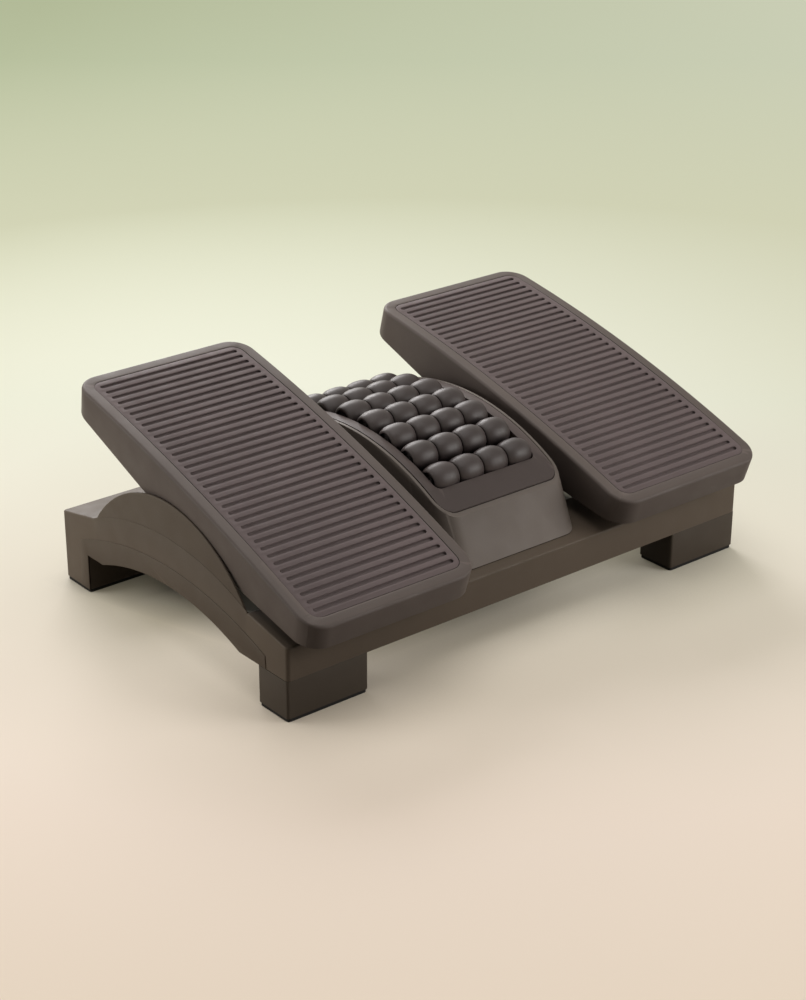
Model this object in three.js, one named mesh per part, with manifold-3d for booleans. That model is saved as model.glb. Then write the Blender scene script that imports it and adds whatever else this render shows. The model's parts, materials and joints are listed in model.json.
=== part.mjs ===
// Tilting under desk footrest: a moulded base with two rocker pedals and a row of massage rollers.
// All sizes are in millimetres. X runs across, the plain front face of the roller housing looks
// towards -Y and Z is up. The floor is at zero height. The pedals are drawn about a pivot line over
// Y zero, and at the end everything moves together so the origin is under the middle of the box.
import * as THREE from "three";
import { mergeVertices } from "three/addons/utils/BufferGeometryUtils.js";
import Module from "manifold-3d";

const wasm = await Module();
wasm.setup();

// Base
const baseWidth = 441;
const baseDepth = 287.5;
const barHeight = 32;
const barEdgeTop = 57.5;
const barInnerTop = 66.8;
const barDepth = 46;
const wall = 2.6;
const baseCorner = 3;
const panelThickness = 2.2;
const archCentreDrop = 3.5;
const archDeckDrop = 22.7;
const underFootInset = 9.75;
const underCrest = 49.2;
const railThickness = 2.6;
const railDrop = 5.7;
const floorRise = 0.5;
const fitGap = 0.3;

// Feet and pads
const footWidth = 70.5;
const footDepth = 34.5;
const footInset = 0.4;
const footCorner = 2;
const padHeight = 2.6;
const padInset = 0.8;
const padGrooveWidth = 3;
const padGrooveDepth = 0.8;
const padGroovePitch = 11;

// Pivots
const pivotHeight = 62;
const railOverBoss = 3;
const shaftRadius = 4;
const bossRadius = 13;
const outerBossReach = 7.3;
const innerBossReach = 6.2;
const ringThickness = 1.4;
const ringRadius = 10.5;
const lugThickness = 5;
const lugRadius = 13;
const lugHalfTop = 46;
const lugWrap = 65;
const bushWall = 1.6;
const bushFlange = 0.9;
const bushFlangeRadius = 8.6;
const clipThickness = 0.9;
const clipRadius = 7;
const clipGrooveDepth = 0.7;

// Pedals
const pedalRailGap = 4.2;
const pedalSideInset = 0.4;
const pedalDraft = 4.6;
const pedalFront = 157.3;
const pedalRear = 144.5;
const pedalCrest = 76.2;
const pedalArcRadius = 1480;
const pedalCorner = 18.5;
const pedalEdge = 2.4;
const skirtMiddle = 33;
const pedalBarGap = 0.84;
const tiltLimit = 20;
const pedalWall = 2.6;
const pedalTop = 2.8;
const rimWidth = 9.2;
const recessDepth = 3;
const ribHeight = 9;
const ribShares = [-0.72, -0.36, 0, 0.36, 0.72];
const tiltLeft = 17.25;
const tiltRight = 14.5;
const pedalSpans = 10;

// Mats
const groovePitch = 7.9;
const grooveWidth = 3;
const grooveDepth = 1.6;
const grooveInnerInset = 14.4;
const grooveOuterInset = 14.8;
const grooveEndSpace = 2;

// Roller housing
const housingSideBand = 11.5;
const housingRailGap = 2.7;
const housingSetback = 9.55;
const housingHeadInset = 15.2;
const housingHeadZ = 95.65;
const housingCorner = 14;
const housingWall = 2.4;
const housingRim = 2.7;
const housingLedge = 2.2;
const topCrest = 132.2;
const plateThickness = 1.8;
const postRadius = 4;
const postSideInset = 6.3;
const postBarInset = 8.25;

// Rollers
const rollerSink = 3.9;
const rollerPitch = 26;
const rollerGap = 1;
const rowShift = 8.1;
const rowEndSpace = 8;
const lobeCount = 4;
const lobePitch = 23.5;
const lobeSwell = 2.7;
const lobeGroove = 0.7;
const lobeGrooveDepth = 1.1;
const lobeShares = [[0, 0], [0.14, 0.63], [0.5, 1], [0.86, 0.63], [1, 0]];
const hubRecess = 2.2;
const hubRimStep = 0.6;
const axleRadius = 1.5;
const axleEndInset = 0.4;
const openingSideGap = 1;
const openingEndGap = 0.15;
const openingCorner = 5;
const axleRailSideGap = 0.6;
const axleRailThickness = 4.6;
const axleRailDrop = 15;
const axleRailMargin = 1.4;
const axleRailLeg = 9;

// Screws
const screwShank = 1.6;
const screwHead = 3.2;
const screwHeadHeight = 2;
const screwLength = 12;
const screwHole = 2;
const screwHeadFlatShare = 0.7;
const screwHeadEdgeShare = 0.6;
const screwTaperShare = 0.72;
const screwTipShare = 0.8;
const footScrewShares = [0.25, 0.75];

// How round the ends of slots are, as a share of half their width
const slotRoundShare = 0.96;

// Cuts run past the material by this much, and joined pieces sink into each other by the same
const overrun = 1;

// Points nearer than this are one point
const weldGap = 0.0001;

// Colours
const shellColour = 0x4a4340;
const pedalColour = 0x544d4c;
const matColour = 0x4d4647;
const rubberColour = 0x1d1b1a;
const rollerColour = 0x3a3635;
const steelColour = 0xa7a9ab;
const nylonColour = 0xcfcabc;

const half = (length) => length / 2;
const radians = THREE.MathUtils.degToRad;

// Shapes as lists of [a, b] pairs
function arcPoints(centreA, centreB, radius, fromDeg, toDeg, steps) {
  const points = [];
  for (let i = 0; i <= steps; i += 1) {
    const angle = radians(fromDeg + ((toDeg - fromDeg) * i) / steps);
    points.push([centreA + radius * Math.cos(angle), centreB + radius * Math.sin(angle)]);
  }
  return points;
}

function roundedRect(lowA, highA, lowB, highB, radius, steps) {
  return [
    ...arcPoints(highA - radius, lowB + radius, radius, -90, 0, steps),
    ...arcPoints(highA - radius, highB - radius, radius, 0, 90, steps),
    ...arcPoints(lowA + radius, highB - radius, radius, 90, 180, steps),
    ...arcPoints(lowA + radius, lowB + radius, radius, 180, 270, steps),
  ];
}

function shapeOf(points) {
  return new THREE.Shape(points.map(([a, b]) => new THREE.Vector2(a, b)));
}

// Extrude a plan outline of [x, y] pairs upwards
function extrudeZ(points, low, high) {
  const geometry = new THREE.ExtrudeGeometry(shapeOf(points), { depth: high - low, bevelEnabled: false });
  return geometry.translate(0, 0, low);
}

// Extrude a side outline of [y, z] pairs along X
function extrudeX(points, low, high) {
  const geometry = new THREE.ExtrudeGeometry(shapeOf(points), { depth: high - low, bevelEnabled: false });
  const turn = new THREE.Matrix4().makeBasis(
    new THREE.Vector3(0, 1, 0),
    new THREE.Vector3(0, 0, 1),
    new THREE.Vector3(1, 0, 0),
  );
  return geometry.applyMatrix4(turn).translate(low, 0, 0);
}

// Turn an outline of [along, radius] pairs about an axis. The outline closes on itself or on the axis.
function turned(points, segments) {
  const profile = points.map(([along, radius]) => new THREE.Vector2(radius, along));
  if (THREE.ShapeUtils.area(profile) < 0) {
    profile.reverse();
  }
  return new THREE.LatheGeometry(profile, segments);
}

const turnedX = (points, segments) => turned(points, segments).rotateZ(-Math.PI / 2);
const turnedZ = (points, segments) => turned(points, segments).rotateX(Math.PI / 2);
const rodOutline = (radius, low, high) => [[low, 0], [low, radius], [high, radius], [high, 0]];
const rodX = (radius, low, high, segments) => turnedX(rodOutline(radius, low, high), segments);
const rodZ = (radius, low, high, segments) => turnedZ(rodOutline(radius, low, high), segments);

// True when the first ring turns the right way for its skin to face outwards
function facesOut(rings) {
  const ring = rings[0];
  const normal = new THREE.Vector3();
  ring.forEach((point, i) => normal.add(point.clone().cross(ring[(i + 1) % ring.length])));
  const middleOf = (points) => points.reduce((sum, p) => sum.add(p), new THREE.Vector3())
    .divideScalar(points.length);
  const along = middleOf(rings[rings.length - 1]).sub(middleOf(ring));
  return normal.dot(along) > 0;
}

// Skin a row of rings of points, all of one count, and close both ends
function loft(rings) {
  const count = rings[0].length;
  const positions = rings.flat().flatMap((p) => [p.x, p.y, p.z]);
  const index = [];
  for (let r = 0; r + 1 < rings.length; r += 1) {
    for (let i = 0; i < count; i += 1) {
      const a = r * count + i;
      const b = r * count + ((i + 1) % count);
      index.push(a, b, b + count, a, b + count, a + count);
    }
  }
  const last = (rings.length - 1) * count;
  for (let i = 1; i + 1 < count; i += 1) {
    index.push(0, i + 1, i);
    index.push(last, last + i, last + i + 1);
  }
  if (!facesOut(rings)) {
    index.reverse();
  }
  const geometry = new THREE.BufferGeometry();
  geometry.setAttribute("position", new THREE.Float32BufferAttribute(positions, 3));
  geometry.setIndex(index);
  return geometry;
}

// Booleans
function solid(geometry) {
  const bare = geometry.clone();
  bare.deleteAttribute("normal");
  bare.deleteAttribute("uv");
  const merged = mergeVertices(bare, weldGap);
  const mesh = new wasm.Mesh({
    numProp: 3,
    vertProperties: new Float32Array(merged.attributes.position.array),
    triVerts: new Uint32Array(merged.index.array),
  });
  const body = new wasm.Manifold(mesh);
  if (body.volume() < 0) {
    throw new Error("a solid faces inwards");
  }
  return body;
}

function union(bodies) {
  return bodies.reduce((sum, body) => sum.add(body));
}

function cut(body, cutters) {
  return cutters.length ? body.subtract(union(cutters)) : body;
}

function geometryOf(body) {
  const mesh = body.getMesh();
  const geometry = new THREE.BufferGeometry();
  geometry.setAttribute("position", new THREE.Float32BufferAttribute(mesh.vertProperties, mesh.numProp));
  geometry.setIndex(new THREE.Uint32BufferAttribute(mesh.triVerts, 1));
  const flat = geometry.toNonIndexed();
  flat.computeVertexNormals();
  return flat;
}

const object = new THREE.Group();
object.name = "footrest";

function addNode(name, body, colour, roughness, metalness) {
  const material = new THREE.MeshStandardMaterial({ color: colour, roughness, metalness });
  material.name = `${name}_finish`;
  const mesh = new THREE.Mesh(geometryOf(body), material);
  mesh.name = name;
  object.add(mesh);
}

// Places that follow from the base
const frontY = -half(baseDepth);
const halfWidth = half(baseWidth);
const panelInner = halfWidth - panelThickness;
const barBackY = frontY + barDepth;
const floorBottom = underCrest + floorRise;
const floorTop = floorBottom + wall;
const railFoot = floorBottom - railDrop;
const underFootY = -barBackY - underFootInset;
const archRadius = pivotHeight + pedalCrest - archDeckDrop + archCentreDrop;
const archFootY = Math.sqrt(archRadius ** 2 - (barInnerTop + archCentreDrop) ** 2);

// The housing is as wide as its rollers ask, reaches to the bars and has its arch struck over its ends
const rollerRowHalf = half(lobeCount * lobePitch);
const openingHalf = rollerRowHalf + openingSideGap;
const housingHalf = openingHalf + housingSideBand;
const railInner = housingHalf + housingRailGap;
const housingFootY = -frontY - housingSetback;
const housingHeadY = housingFootY - housingHeadInset;
const topRise = topCrest - housingHeadZ;
const topArcRadius = (housingHeadY ** 2 + topRise ** 2) / (topRise * 2);

// As many rollers as fit between the bars, on an arc a little below the housing's top
const rollerCount = Math.floor((-barBackY * 2 - rowEndSpace) / rollerPitch);
const rowRadius = topArcRadius - rollerSink;
const rollerPlaces = Array.from({ length: rollerCount }, (_, i) => {
  const angle = ((i - half(rollerCount - 1)) * rollerPitch - rowShift) / rowRadius;
  return [rowRadius * Math.sin(angle), topCrest - topArcRadius + rowRadius * Math.cos(angle)];
});
const lobeRadius = half(rollerPitch) - rollerGap;
const openingFront = -rollerPlaces[0][0] + lobeRadius + openingEndGap;
const openingRear = rollerPlaces[rollerCount - 1][0] + lobeRadius + openingEndGap;
const axleRailInner = openingHalf + axleRailSideGap;
const axleHalf = axleRailInner + axleRailThickness - axleEndInset;
const axleRailFront = openingFront + axleRailMargin;
const axleRailRear = openingRear + axleRailMargin;
const postX = housingHalf - postSideInset;
const postY = -barBackY + postBarInset;

// Heights used by several pieces
const padTop = padHeight + fitGap;
const barTopAt = (y) => {
  const share = Math.max(0, (Math.abs(y) - Math.abs(barBackY)) / barDepth);
  return barInnerTop + (barEdgeTop - barInnerTop) * share;
};
const topArcAt = (y, sink) => {
  const radius = topArcRadius - sink;
  return topCrest - topArcRadius + Math.sqrt(radius * radius - y * y);
};

// Base frame
function archOutline() {
  const footDeg = THREE.MathUtils.radToDeg(Math.acos(archFootY / archRadius));
  const underRise = underCrest - barHeight;
  const underRadius = (underFootY * underFootY + underRise * underRise) / (underRise * 2);
  const underDeg = THREE.MathUtils.radToDeg(Math.asin(underFootY / underRadius));
  return [
    [frontY, barHeight],
    ...arcPoints(0, underCrest - underRadius, underRadius, 90 + underDeg, 90 - underDeg, 10),
    [-frontY, barHeight],
    [-frontY, barEdgeTop],
    [-barBackY, barInnerTop],
    ...arcPoints(0, -archCentreDrop, archRadius, footDeg, 180 - footDeg, 18),
    [barBackY, barInnerTop],
    [frontY, barEdgeTop],
  ];
}

function barShell(sign) {
  const outer = [
    [frontY, barHeight],
    [barBackY, barHeight],
    [barBackY, barInnerTop],
    [frontY, barEdgeTop],
  ];
  const inner = [
    [frontY + wall, barHeight - overrun],
    [barBackY - wall, barHeight - overrun],
    [barBackY - wall, barInnerTop - wall],
    [frontY + wall, barEdgeTop - wall],
  ];
  const reach = panelInner + half(panelThickness);
  let shell = solid(extrudeX(outer, -reach, reach));
  shell = cut(shell, [solid(extrudeX(inner, -panelInner, panelInner))]);
  const ribs = [];
  const ribXs = [railInner, halfWidth - footWidth, half(railInner + halfWidth - footWidth)];
  for (const x of ribXs) {
    for (const side of [-1, 1]) {
      const low = side > 0 ? x : -x - wall;
      const rib = [
        [frontY + half(wall), barHeight],
        [barBackY - half(wall), barHeight],
        [barBackY - half(wall), barInnerTop - half(wall)],
        [frontY + half(wall), barEdgeTop - half(wall)],
      ];
      ribs.push(solid(extrudeX(rib, low, low + wall)));
    }
  }
  // Seats over the feet, with pillars that take the foot screws
  for (const side of [-1, 1]) {
    const near = halfWidth - footWidth;
    const low = side > 0 ? near : -panelInner - half(panelThickness);
    const high = side > 0 ? panelInner + half(panelThickness) : -near;
    const seat = [
      [frontY + half(wall), barHeight],
      [frontY + footDepth, barHeight],
      [frontY + footDepth, barHeight + wall],
      [frontY + half(wall), barHeight + wall],
    ];
    ribs.push(solid(extrudeX(seat, low, high)));
    if (sign < 0) {
      for (const x of footScrewXs) {
        const pillar = rodZ(postRadius, barHeight + half(wall), barEdgeTop - half(wall), 8);
        ribs.push(solid(pillar.translate(side * x, frontY + half(footDepth), 0)));
      }
    }
  }
  const whole = union([shell, ...ribs]);
  return sign < 0 ? whole : whole.mirror([0, 1, 0]);
}

const footScrewXs = footScrewShares.map((share) => halfWidth - footWidth * share);
const housingScrews = [-1, 1].flatMap((sx) => [-1, 1].map((sy) => [sx * postX, sy * postY]));
const axleRailLegYs = [-axleRailFront + half(axleRailLeg), axleRailRear - half(axleRailLeg)];
const axleRailX = axleRailInner + half(axleRailThickness);
const railScrews = [-1, 1].flatMap((sx) => axleRailLegYs.map((y) => [sx * axleRailX, y]));

function buildBase() {
  const parts = [barShell(-1), barShell(1)];
  for (const side of [-1, 1]) {
    const panelLow = side > 0 ? panelInner : -halfWidth;
    parts.push(solid(extrudeX(archOutline(), panelLow, panelLow + panelThickness)));
    // Rear legs are part of the base, hollow and open below
    const near = halfWidth - footWidth;
    const legLow = side > 0 ? near : -halfWidth;
    const legBack = -frontY;
    const legFront = legBack - footDepth;
    const outer = [[legLow, legFront], [legLow + footWidth, legFront], [legLow + footWidth, legBack],
      [legLow, legBack]];
    const inner = roundedRect(legLow + wall, legLow + footWidth - wall, legFront + wall, legBack - wall,
      footCorner, 1);
    parts.push(cut(solid(extrudeZ(outer, padTop, barHeight + half(wall))),
      [solid(extrudeZ(inner, padTop - overrun, barHeight))]));
    // Inner arch rails carry the inboard ends of the pivot shafts
    const railLow = side > 0 ? railInner : -railInner - railThickness;
    const railTop = pivotHeight + bossRadius + railOverBoss;
    const rail = [
      [barBackY - half(wall), railFoot],
      [-barBackY + half(wall), railFoot],
      [-barBackY + half(wall), barInnerTop],
      [bossRadius, railTop],
      [-bossRadius, railTop],
      [barBackY - half(wall), barInnerTop],
    ];
    parts.push(solid(extrudeX(rail, railLow, railLow + railThickness)));
    const outerBoss = rodX(bossRadius, panelInner - outerBossReach, panelInner + half(panelThickness), 16);
    const innerBoss = rodX(bossRadius, railInner + half(railThickness), railInner + railThickness
      + innerBossReach, 16);
    for (const boss of [outerBoss, innerBoss]) {
      const body = solid(boss.translate(0, 0, pivotHeight));
      parts.push(side > 0 ? body : body.mirror([1, 0, 0]));
    }
  }
  // Floor of the housing between the inner rails
  const reach = railInner + half(railThickness);
  const floor = [
    [barBackY - half(wall), floorBottom],
    [-barBackY + half(wall), floorBottom],
    [-barBackY + half(wall), floorTop],
    [barBackY - half(wall), floorTop],
  ];
  parts.push(solid(extrudeX(floor, -reach, reach)));
  let base = union(parts);
  const bodyPlan = roundedRect(-halfWidth, halfWidth, frontY, -frontY, baseCorner, 3);
  base = base.intersect(solid(extrudeZ(bodyPlan, 0, topCrest)));
  const cuts = [];
  for (const side of [-1, 1]) {
    // Blind bores in the outer bosses and through bores in the inner rails
    const bore = rodX(shaftRadius + fitGap, railInner - overrun, panelInner, 12);
    const body = solid(bore.translate(0, 0, pivotHeight));
    cuts.push(side > 0 ? body : body.mirror([1, 0, 0]));
    for (const x of footScrewXs) {
      const hole = rodZ(screwHole, barHeight - overrun, barHeight + screwLength, 8);
      cuts.push(solid(hole.translate(side * x, frontY + half(footDepth), 0)));
    }
  }
  for (const [x, y] of [...railScrews]) {
    cuts.push(solid(rodZ(screwHole, floorBottom - overrun, floorTop + overrun, 8).translate(x, y, 0)));
  }
  // The housing screws stand at the bars, so they pass the bars' tops
  for (const [x, y] of housingScrews) {
    cuts.push(solid(rodZ(screwHole, floorTop, barInnerTop + overrun, 8).translate(x, y, 0)));
  }
  return cut(base, cuts);
}

// Front riser feet, hollow and open below
function buildFoot(side) {
  const near = halfWidth - footWidth;
  const low = side > 0 ? near : -halfWidth + footInset;
  const high = side > 0 ? halfWidth - footInset : -near;
  const front = frontY + footInset;
  const back = frontY + footDepth;
  const top = barHeight - fitGap;
  const outer = roundedRect(low, high, front, back, footCorner, 2);
  const inner = roundedRect(low + wall, high - wall, front + wall, back - wall, footCorner, 1);
  const body = cut(solid(extrudeZ(outer, padTop, top)), [
    solid(extrudeZ(inner, padTop - overrun, top - wall)),
    ...footScrewXs.map((x) => solid(rodZ(screwHole, top - wall - overrun, top + overrun, 8)
      .translate(side * x, frontY + half(footDepth), 0))),
  ]);
  return body;
}

function buildPad(side, end) {
  const near = halfWidth - footWidth + padInset;
  const far = halfWidth - footInset - padInset;
  const low = side > 0 ? near : -far;
  const high = side > 0 ? far : -near;
  const front = frontY + footInset + padInset;
  const back = frontY + footDepth - padInset;
  let pad = solid(extrudeZ(roundedRect(low, high, front, back, footCorner, 2), 0, padHeight));
  const grooves = [];
  for (const step of [-2, -1, 0, 1, 2]) {
    const x = half(low + high) + step * padGroovePitch;
    const groove = roundedRect(x - half(padGrooveWidth), x + half(padGrooveWidth), front + wall, back - wall,
      half(padGrooveWidth) * slotRoundShare, 1);
    grooves.push(solid(extrudeZ(groove, -overrun, padGrooveDepth)));
  }
  pad = cut(pad, grooves);
  return end < 0 ? pad : pad.mirror([0, 1, 0]);
}

// Pedals are drawn level about the pivot line, for the right side, and tilted at the end
const pedalHalf = half(pedalFront + pedalRear);
const pedalMid = half(pedalRear - pedalFront);
const pedalArcAt = (u) => pedalCrest - pedalArcRadius + Math.sqrt(pedalArcRadius * pedalArcRadius - u * u);

// The pedals reach from the inner rails to the base's sides
const pedalInnerX = railInner + railThickness + pedalRailGap;
const pedalOuterX = halfWidth - pedalSideInset;

// The skirt's lower edge rises to the ends, so that it clears the bars' outer edges at full tilt
const skirtSlope = (() => {
  const edgeRise = barEdgeTop + pedalBarGap - pivotHeight;
  const turn = radians(tiltLimit);
  const along = -frontY * Math.cos(turn) - edgeRise * Math.sin(turn);
  const rise = -frontY * Math.sin(turn) + edgeRise * Math.cos(turn);
  return (rise - skirtMiddle) / along;
})();
const skirtAt = (u) => skirtMiddle + skirtSlope * Math.abs(u);

// Stations along the pedal, close together round the plan corners
function pedalStations(inset, corner) {
  const reach = pedalHalf - inset;
  const list = [];
  const cornerSteps = 4;
  for (let i = 0; i <= cornerSteps; i += 1) {
    const angle = (Math.PI / 2) * (i / cornerSteps);
    list.push([-reach + corner * (1 - Math.cos(angle)), corner * (1 - Math.sin(angle))]);
  }
  const straight = reach - corner;
  for (let i = 1; i < pedalSpans; i += 1) {
    list.push([-straight + (straight * 2 * i) / pedalSpans, 0]);
  }
  return [...list, ...list.slice(0, cornerSteps + 1).reverse().map(([u, drop]) => [-u, drop])]
    .map(([u, drop]) => [u + pedalMid, drop]);
}

// A closed body between two heights, following the pedal's plan with an even inset
function pedalBody({ inset, corner, topAt, bottomAt, edge, draft }) {
  const rings = pedalStations(inset, corner).map(([u, drop]) => {
    const low = bottomAt(u);
    // The top edge is rounded at the ends as it is along the sides
    const reach = Math.max(0, edge - (pedalHalf - inset - Math.abs(u - pedalMid)));
    const endDrop = edge - Math.sqrt(Math.max(0, edge * edge - reach * reach));
    const top = topAt(u) - endDrop;
    const lean = draft ? pedalDraft / (pedalCrest - skirtMiddle) : 0;
    const outerAt = (v) => pedalOuterX - inset - drop - lean * (pedalCrest - v);
    const inner = pedalInnerX + inset + drop;
    const side = top - edge + endDrop;
    const ring = [[inner, low], [outerAt(low), low], [outerAt(side), side]];
    if (edge > 0) {
      ring.push([outerAt(top) - edge, top], [inner + edge, top]);
    }
    ring.push([inner, side]);
    return ring.map(([x, v]) => new THREE.Vector3(x, u, v));
  });
  return solid(loft(rings));
}

const matInset = rimWidth + fitGap;
const matBottomAt = (u) => pedalArcAt(u) - recessDepth + fitGap;

function lugOutline() {
  const shoulder = pedalCrest - recessDepth - half(pedalTop);
  const endTop = Math.min(shoulder, pedalArcAt(lugHalfTop) - recessDepth - half(pedalTop));
  return [
    [-lugHalfTop, endTop],
    ...arcPoints(0, 0, lugRadius, 270 - lugWrap, 270 + lugWrap, 8),
    [lugHalfTop, endTop],
  ];
}

const lugSpans = (() => {
  const outerHigh = panelInner - outerBossReach - fitGap - ringThickness - fitGap;
  const innerLow = railInner + railThickness + innerBossReach + fitGap + ringThickness + fitGap;
  return [[outerHigh - lugThickness, outerHigh], [innerLow, innerLow + lugThickness]];
})();

function buildPedalShell() {
  const outer = pedalBody({
    inset: 0, corner: pedalCorner, topAt: pedalArcAt, bottomAt: skirtAt, edge: pedalEdge, draft: true,
  });
  const hollow = pedalBody({
    inset: pedalWall,
    corner: pedalCorner - pedalWall,
    topAt: (u) => pedalArcAt(u) - recessDepth - pedalTop,
    bottomAt: (u) => skirtAt(u) - overrun,
    edge: 0,
    draft: true,
  });
  const recess = pedalBody({
    inset: rimWidth,
    corner: pedalCorner - rimWidth,
    topAt: (u) => pedalArcAt(u) + overrun,
    bottomAt: (u) => pedalArcAt(u) - recessDepth,
    edge: 0,
    draft: false,
  });
  const extras = lugSpans.map(([low, high]) => solid(extrudeX(lugOutline(), low, high)));
  // Ribs across the underside of the deck
  const deckAt = (u) => pedalArcAt(u) - recessDepth - half(pedalTop);
  const ribs = ribShares.map((share) => {
    const u = pedalHalf * share;
    const rib = [
      [u - half(wall), deckAt(u) - ribHeight],
      [u + half(wall), deckAt(u) - ribHeight],
      [u + half(wall), deckAt(u)],
      [u - half(wall), deckAt(u)],
    ];
    return solid(extrudeX(rib, pedalInnerX, pedalOuterX));
  });
  let shell = cut(cut(outer, [hollow]).add(union(ribs).intersect(outer)).add(union(extras)), [recess]);
  const bushOuter = shaftRadius + fitGap + bushWall + fitGap;
  shell = cut(shell, lugSpans.map(([low, high]) => solid(rodX(bushOuter, low - overrun, high + overrun, 16))));
  return shell;
}

function buildMat() {
  const slab = pedalBody({
    inset: matInset,
    corner: pedalCorner - matInset,
    topAt: pedalArcAt,
    bottomAt: matBottomAt,
    edge: 0,
    draft: false,
  });
  const grooveLow = pedalInnerX + grooveInnerInset;
  const grooveHigh = pedalOuterX - grooveOuterInset;
  const grooveCount = Math.floor(((pedalHalf - matInset) * 2 - grooveEndSpace) / groovePitch);
  const cutters = [];
  for (let i = 0; i < grooveCount; i += 1) {
    const along = (i - half(grooveCount - 1)) * groovePitch;
    const angle = along / pedalArcRadius;
    const slot = roundedRect(grooveLow, grooveHigh, -half(grooveWidth), half(grooveWidth),
      half(grooveWidth) * slotRoundShare, 1);
    const cutter = extrudeZ(slot, pedalArcRadius - grooveDepth, pedalArcRadius + overrun);
    cutter.rotateX(-angle).translate(0, pedalMid, pedalCrest - pedalArcRadius);
    cutters.push(solid(cutter));
  }
  return cut(slab, cutters);
}

// Nylon bushes sit in the lugs and turn with the pedal on the shaft
function buildBushes() {
  const bore = shaftRadius + fitGap;
  const sleeve = bore + bushWall;
  return lugSpans.map(([low, high], i) => {
    const flangeLow = i === 0 ? low - fitGap - bushFlange : low + fitGap;
    const profile = i === 0
      ? [[flangeLow, bore], [flangeLow, bushFlangeRadius], [flangeLow + bushFlange, bushFlangeRadius],
        [flangeLow + bushFlange, sleeve], [high - fitGap, sleeve], [high - fitGap, bore], [flangeLow, bore]]
      : [[flangeLow, bore], [flangeLow, sleeve], [high + fitGap, sleeve],
        [high + fitGap, bushFlangeRadius], [high + fitGap + bushFlange, bushFlangeRadius],
        [high + fitGap + bushFlange, bore], [flangeLow, bore]];
    return solid(turnedX(profile, 16));
  });
}

function ringX(bore, radius, low, high, segments) {
  const profile = [[low, bore], [low, radius], [high, radius], [high, bore], [low, bore]];
  return solid(turnedX(profile, segments));
}

// Rubber friction rings between the bosses of the base and the lugs hold the tilt
function buildRings() {
  const outerLow = panelInner - outerBossReach - fitGap - ringThickness;
  const innerLow = railInner + railThickness + innerBossReach + fitGap;
  return [outerLow, innerLow].map((low) => ringX(shaftRadius + fitGap, ringRadius, low,
    low + ringThickness, 16));
}

const shaftEnd = panelInner - fitGap;
const clipHigh = railInner - fitGap;
const clipLow = clipHigh - clipThickness;

function buildShaft() {
  const low = clipLow - fitGap - clipThickness;
  const neck = shaftRadius - clipGrooveDepth;
  const profile = [
    [low, 0],
    [low, shaftRadius],
    [clipLow - fitGap, shaftRadius],
    [clipLow - fitGap, neck],
    [clipHigh + fitGap, neck],
    [clipHigh + fitGap, shaftRadius],
    [shaftEnd, shaftRadius],
    [shaftEnd, 0],
  ];
  return solid(turnedX(profile, 12));
}

function buildClip() {
  return ringX(shaftRadius - clipGrooveDepth + fitGap, clipRadius, clipLow, clipHigh, 12);
}

// Roller housing: a leaning box under an arched top
function housingBlock(inset, low, high) {
  const lean = (housingFootY - housingHeadY) / (housingHeadZ - barEdgeTop);
  const rings = [low, high].map((z) => {
    const reach = housingFootY - lean * (z - barEdgeTop) - inset;
    const radius = Math.max(housingCorner - inset, wall);
    return roundedRect(-housingHalf + inset, housingHalf - inset, -reach, reach, radius, 4)
      .map(([x, y]) => new THREE.Vector3(x, y, z));
  });
  return solid(loft(rings));
}

function archedSlab(lowSink, highSink) {
  const reach = housingFootY + overrun;
  const steps = 20;
  const upper = [];
  const lower = [];
  for (let i = 0; i <= steps; i += 1) {
    const y = -reach + (reach * 2 * i) / steps;
    upper.push([y, topArcAt(y, highSink)]);
    lower.push([y, lowSink === null ? 0 : topArcAt(y, lowSink)]);
  }
  const outline = lowSink === null
    ? [[-reach, 0], [reach, 0], ...upper.reverse()]
    : [...lower, ...upper.reverse()];
  return solid(extrudeX(outline, -halfWidth, halfWidth));
}

const pocketSink = plateThickness + fitGap;
const housingLow = floorTop + fitGap;

function buildHousing() {
  const outer = housingBlock(0, housingLow, topCrest).intersect(archedSlab(null, 0));
  const room = housingBlock(housingWall, housingLow - overrun, topCrest)
    .intersect(archedSlab(null, pocketSink + housingLedge));
  const mouth = housingBlock(housingRim + housingLedge, housingLow - overrun, topCrest + overrun);
  const pocket = housingBlock(housingRim, housingLow, topCrest + overrun)
    .intersect(archedSlab(pocketSink, -overrun * 2));
  const posts = housingScrews.map(([x, y]) => {
    const top = topArcAt(Math.abs(y) + postRadius, pocketSink + half(housingLedge));
    const post = solid(rodZ(postRadius, housingLow, top, 8).translate(x, y, 0));
    const web = extrudeX([[y - half(wall), housingLow], [y + half(wall), housingLow],
      [y + half(wall), top], [y - half(wall), top]], Math.abs(x), housingHalf - half(housingWall));
    const fin = solid(web);
    return post.add(x > 0 ? fin : fin.mirror([1, 0, 0]));
  });
  const shell = cut(outer, [room.add(mouth), pocket]).add(union(posts));
  // The lower edge follows the tops of the base's bars
  const seat = [
    [frontY - overrun, 0],
    [barBackY + fitGap, 0],
    [barBackY + fitGap, barInnerTop + fitGap],
    [frontY, barEdgeTop + fitGap],
    [frontY - overrun, barEdgeTop + fitGap],
  ];
  const bars = solid(extrudeX(seat, -halfWidth, halfWidth));
  const holes = housingScrews.map(([x, y]) => solid(rodZ(screwHole, housingLow - overrun,
    barInnerTop + screwLength, 8).translate(x, y, 0)));
  return cut(shell, [bars, bars.mirror([0, 1, 0]), ...holes]);
}

function buildPlate() {
  const body = housingBlock(housingRim + fitGap, housingLow, topCrest + overrun)
    .intersect(archedSlab(plateThickness, 0));
  const hole = roundedRect(-openingHalf, openingHalf, -openingFront, openingRear, openingCorner, 3);
  return cut(body, [solid(extrudeZ(hole, 0, topCrest + overrun))]);
}

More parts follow.
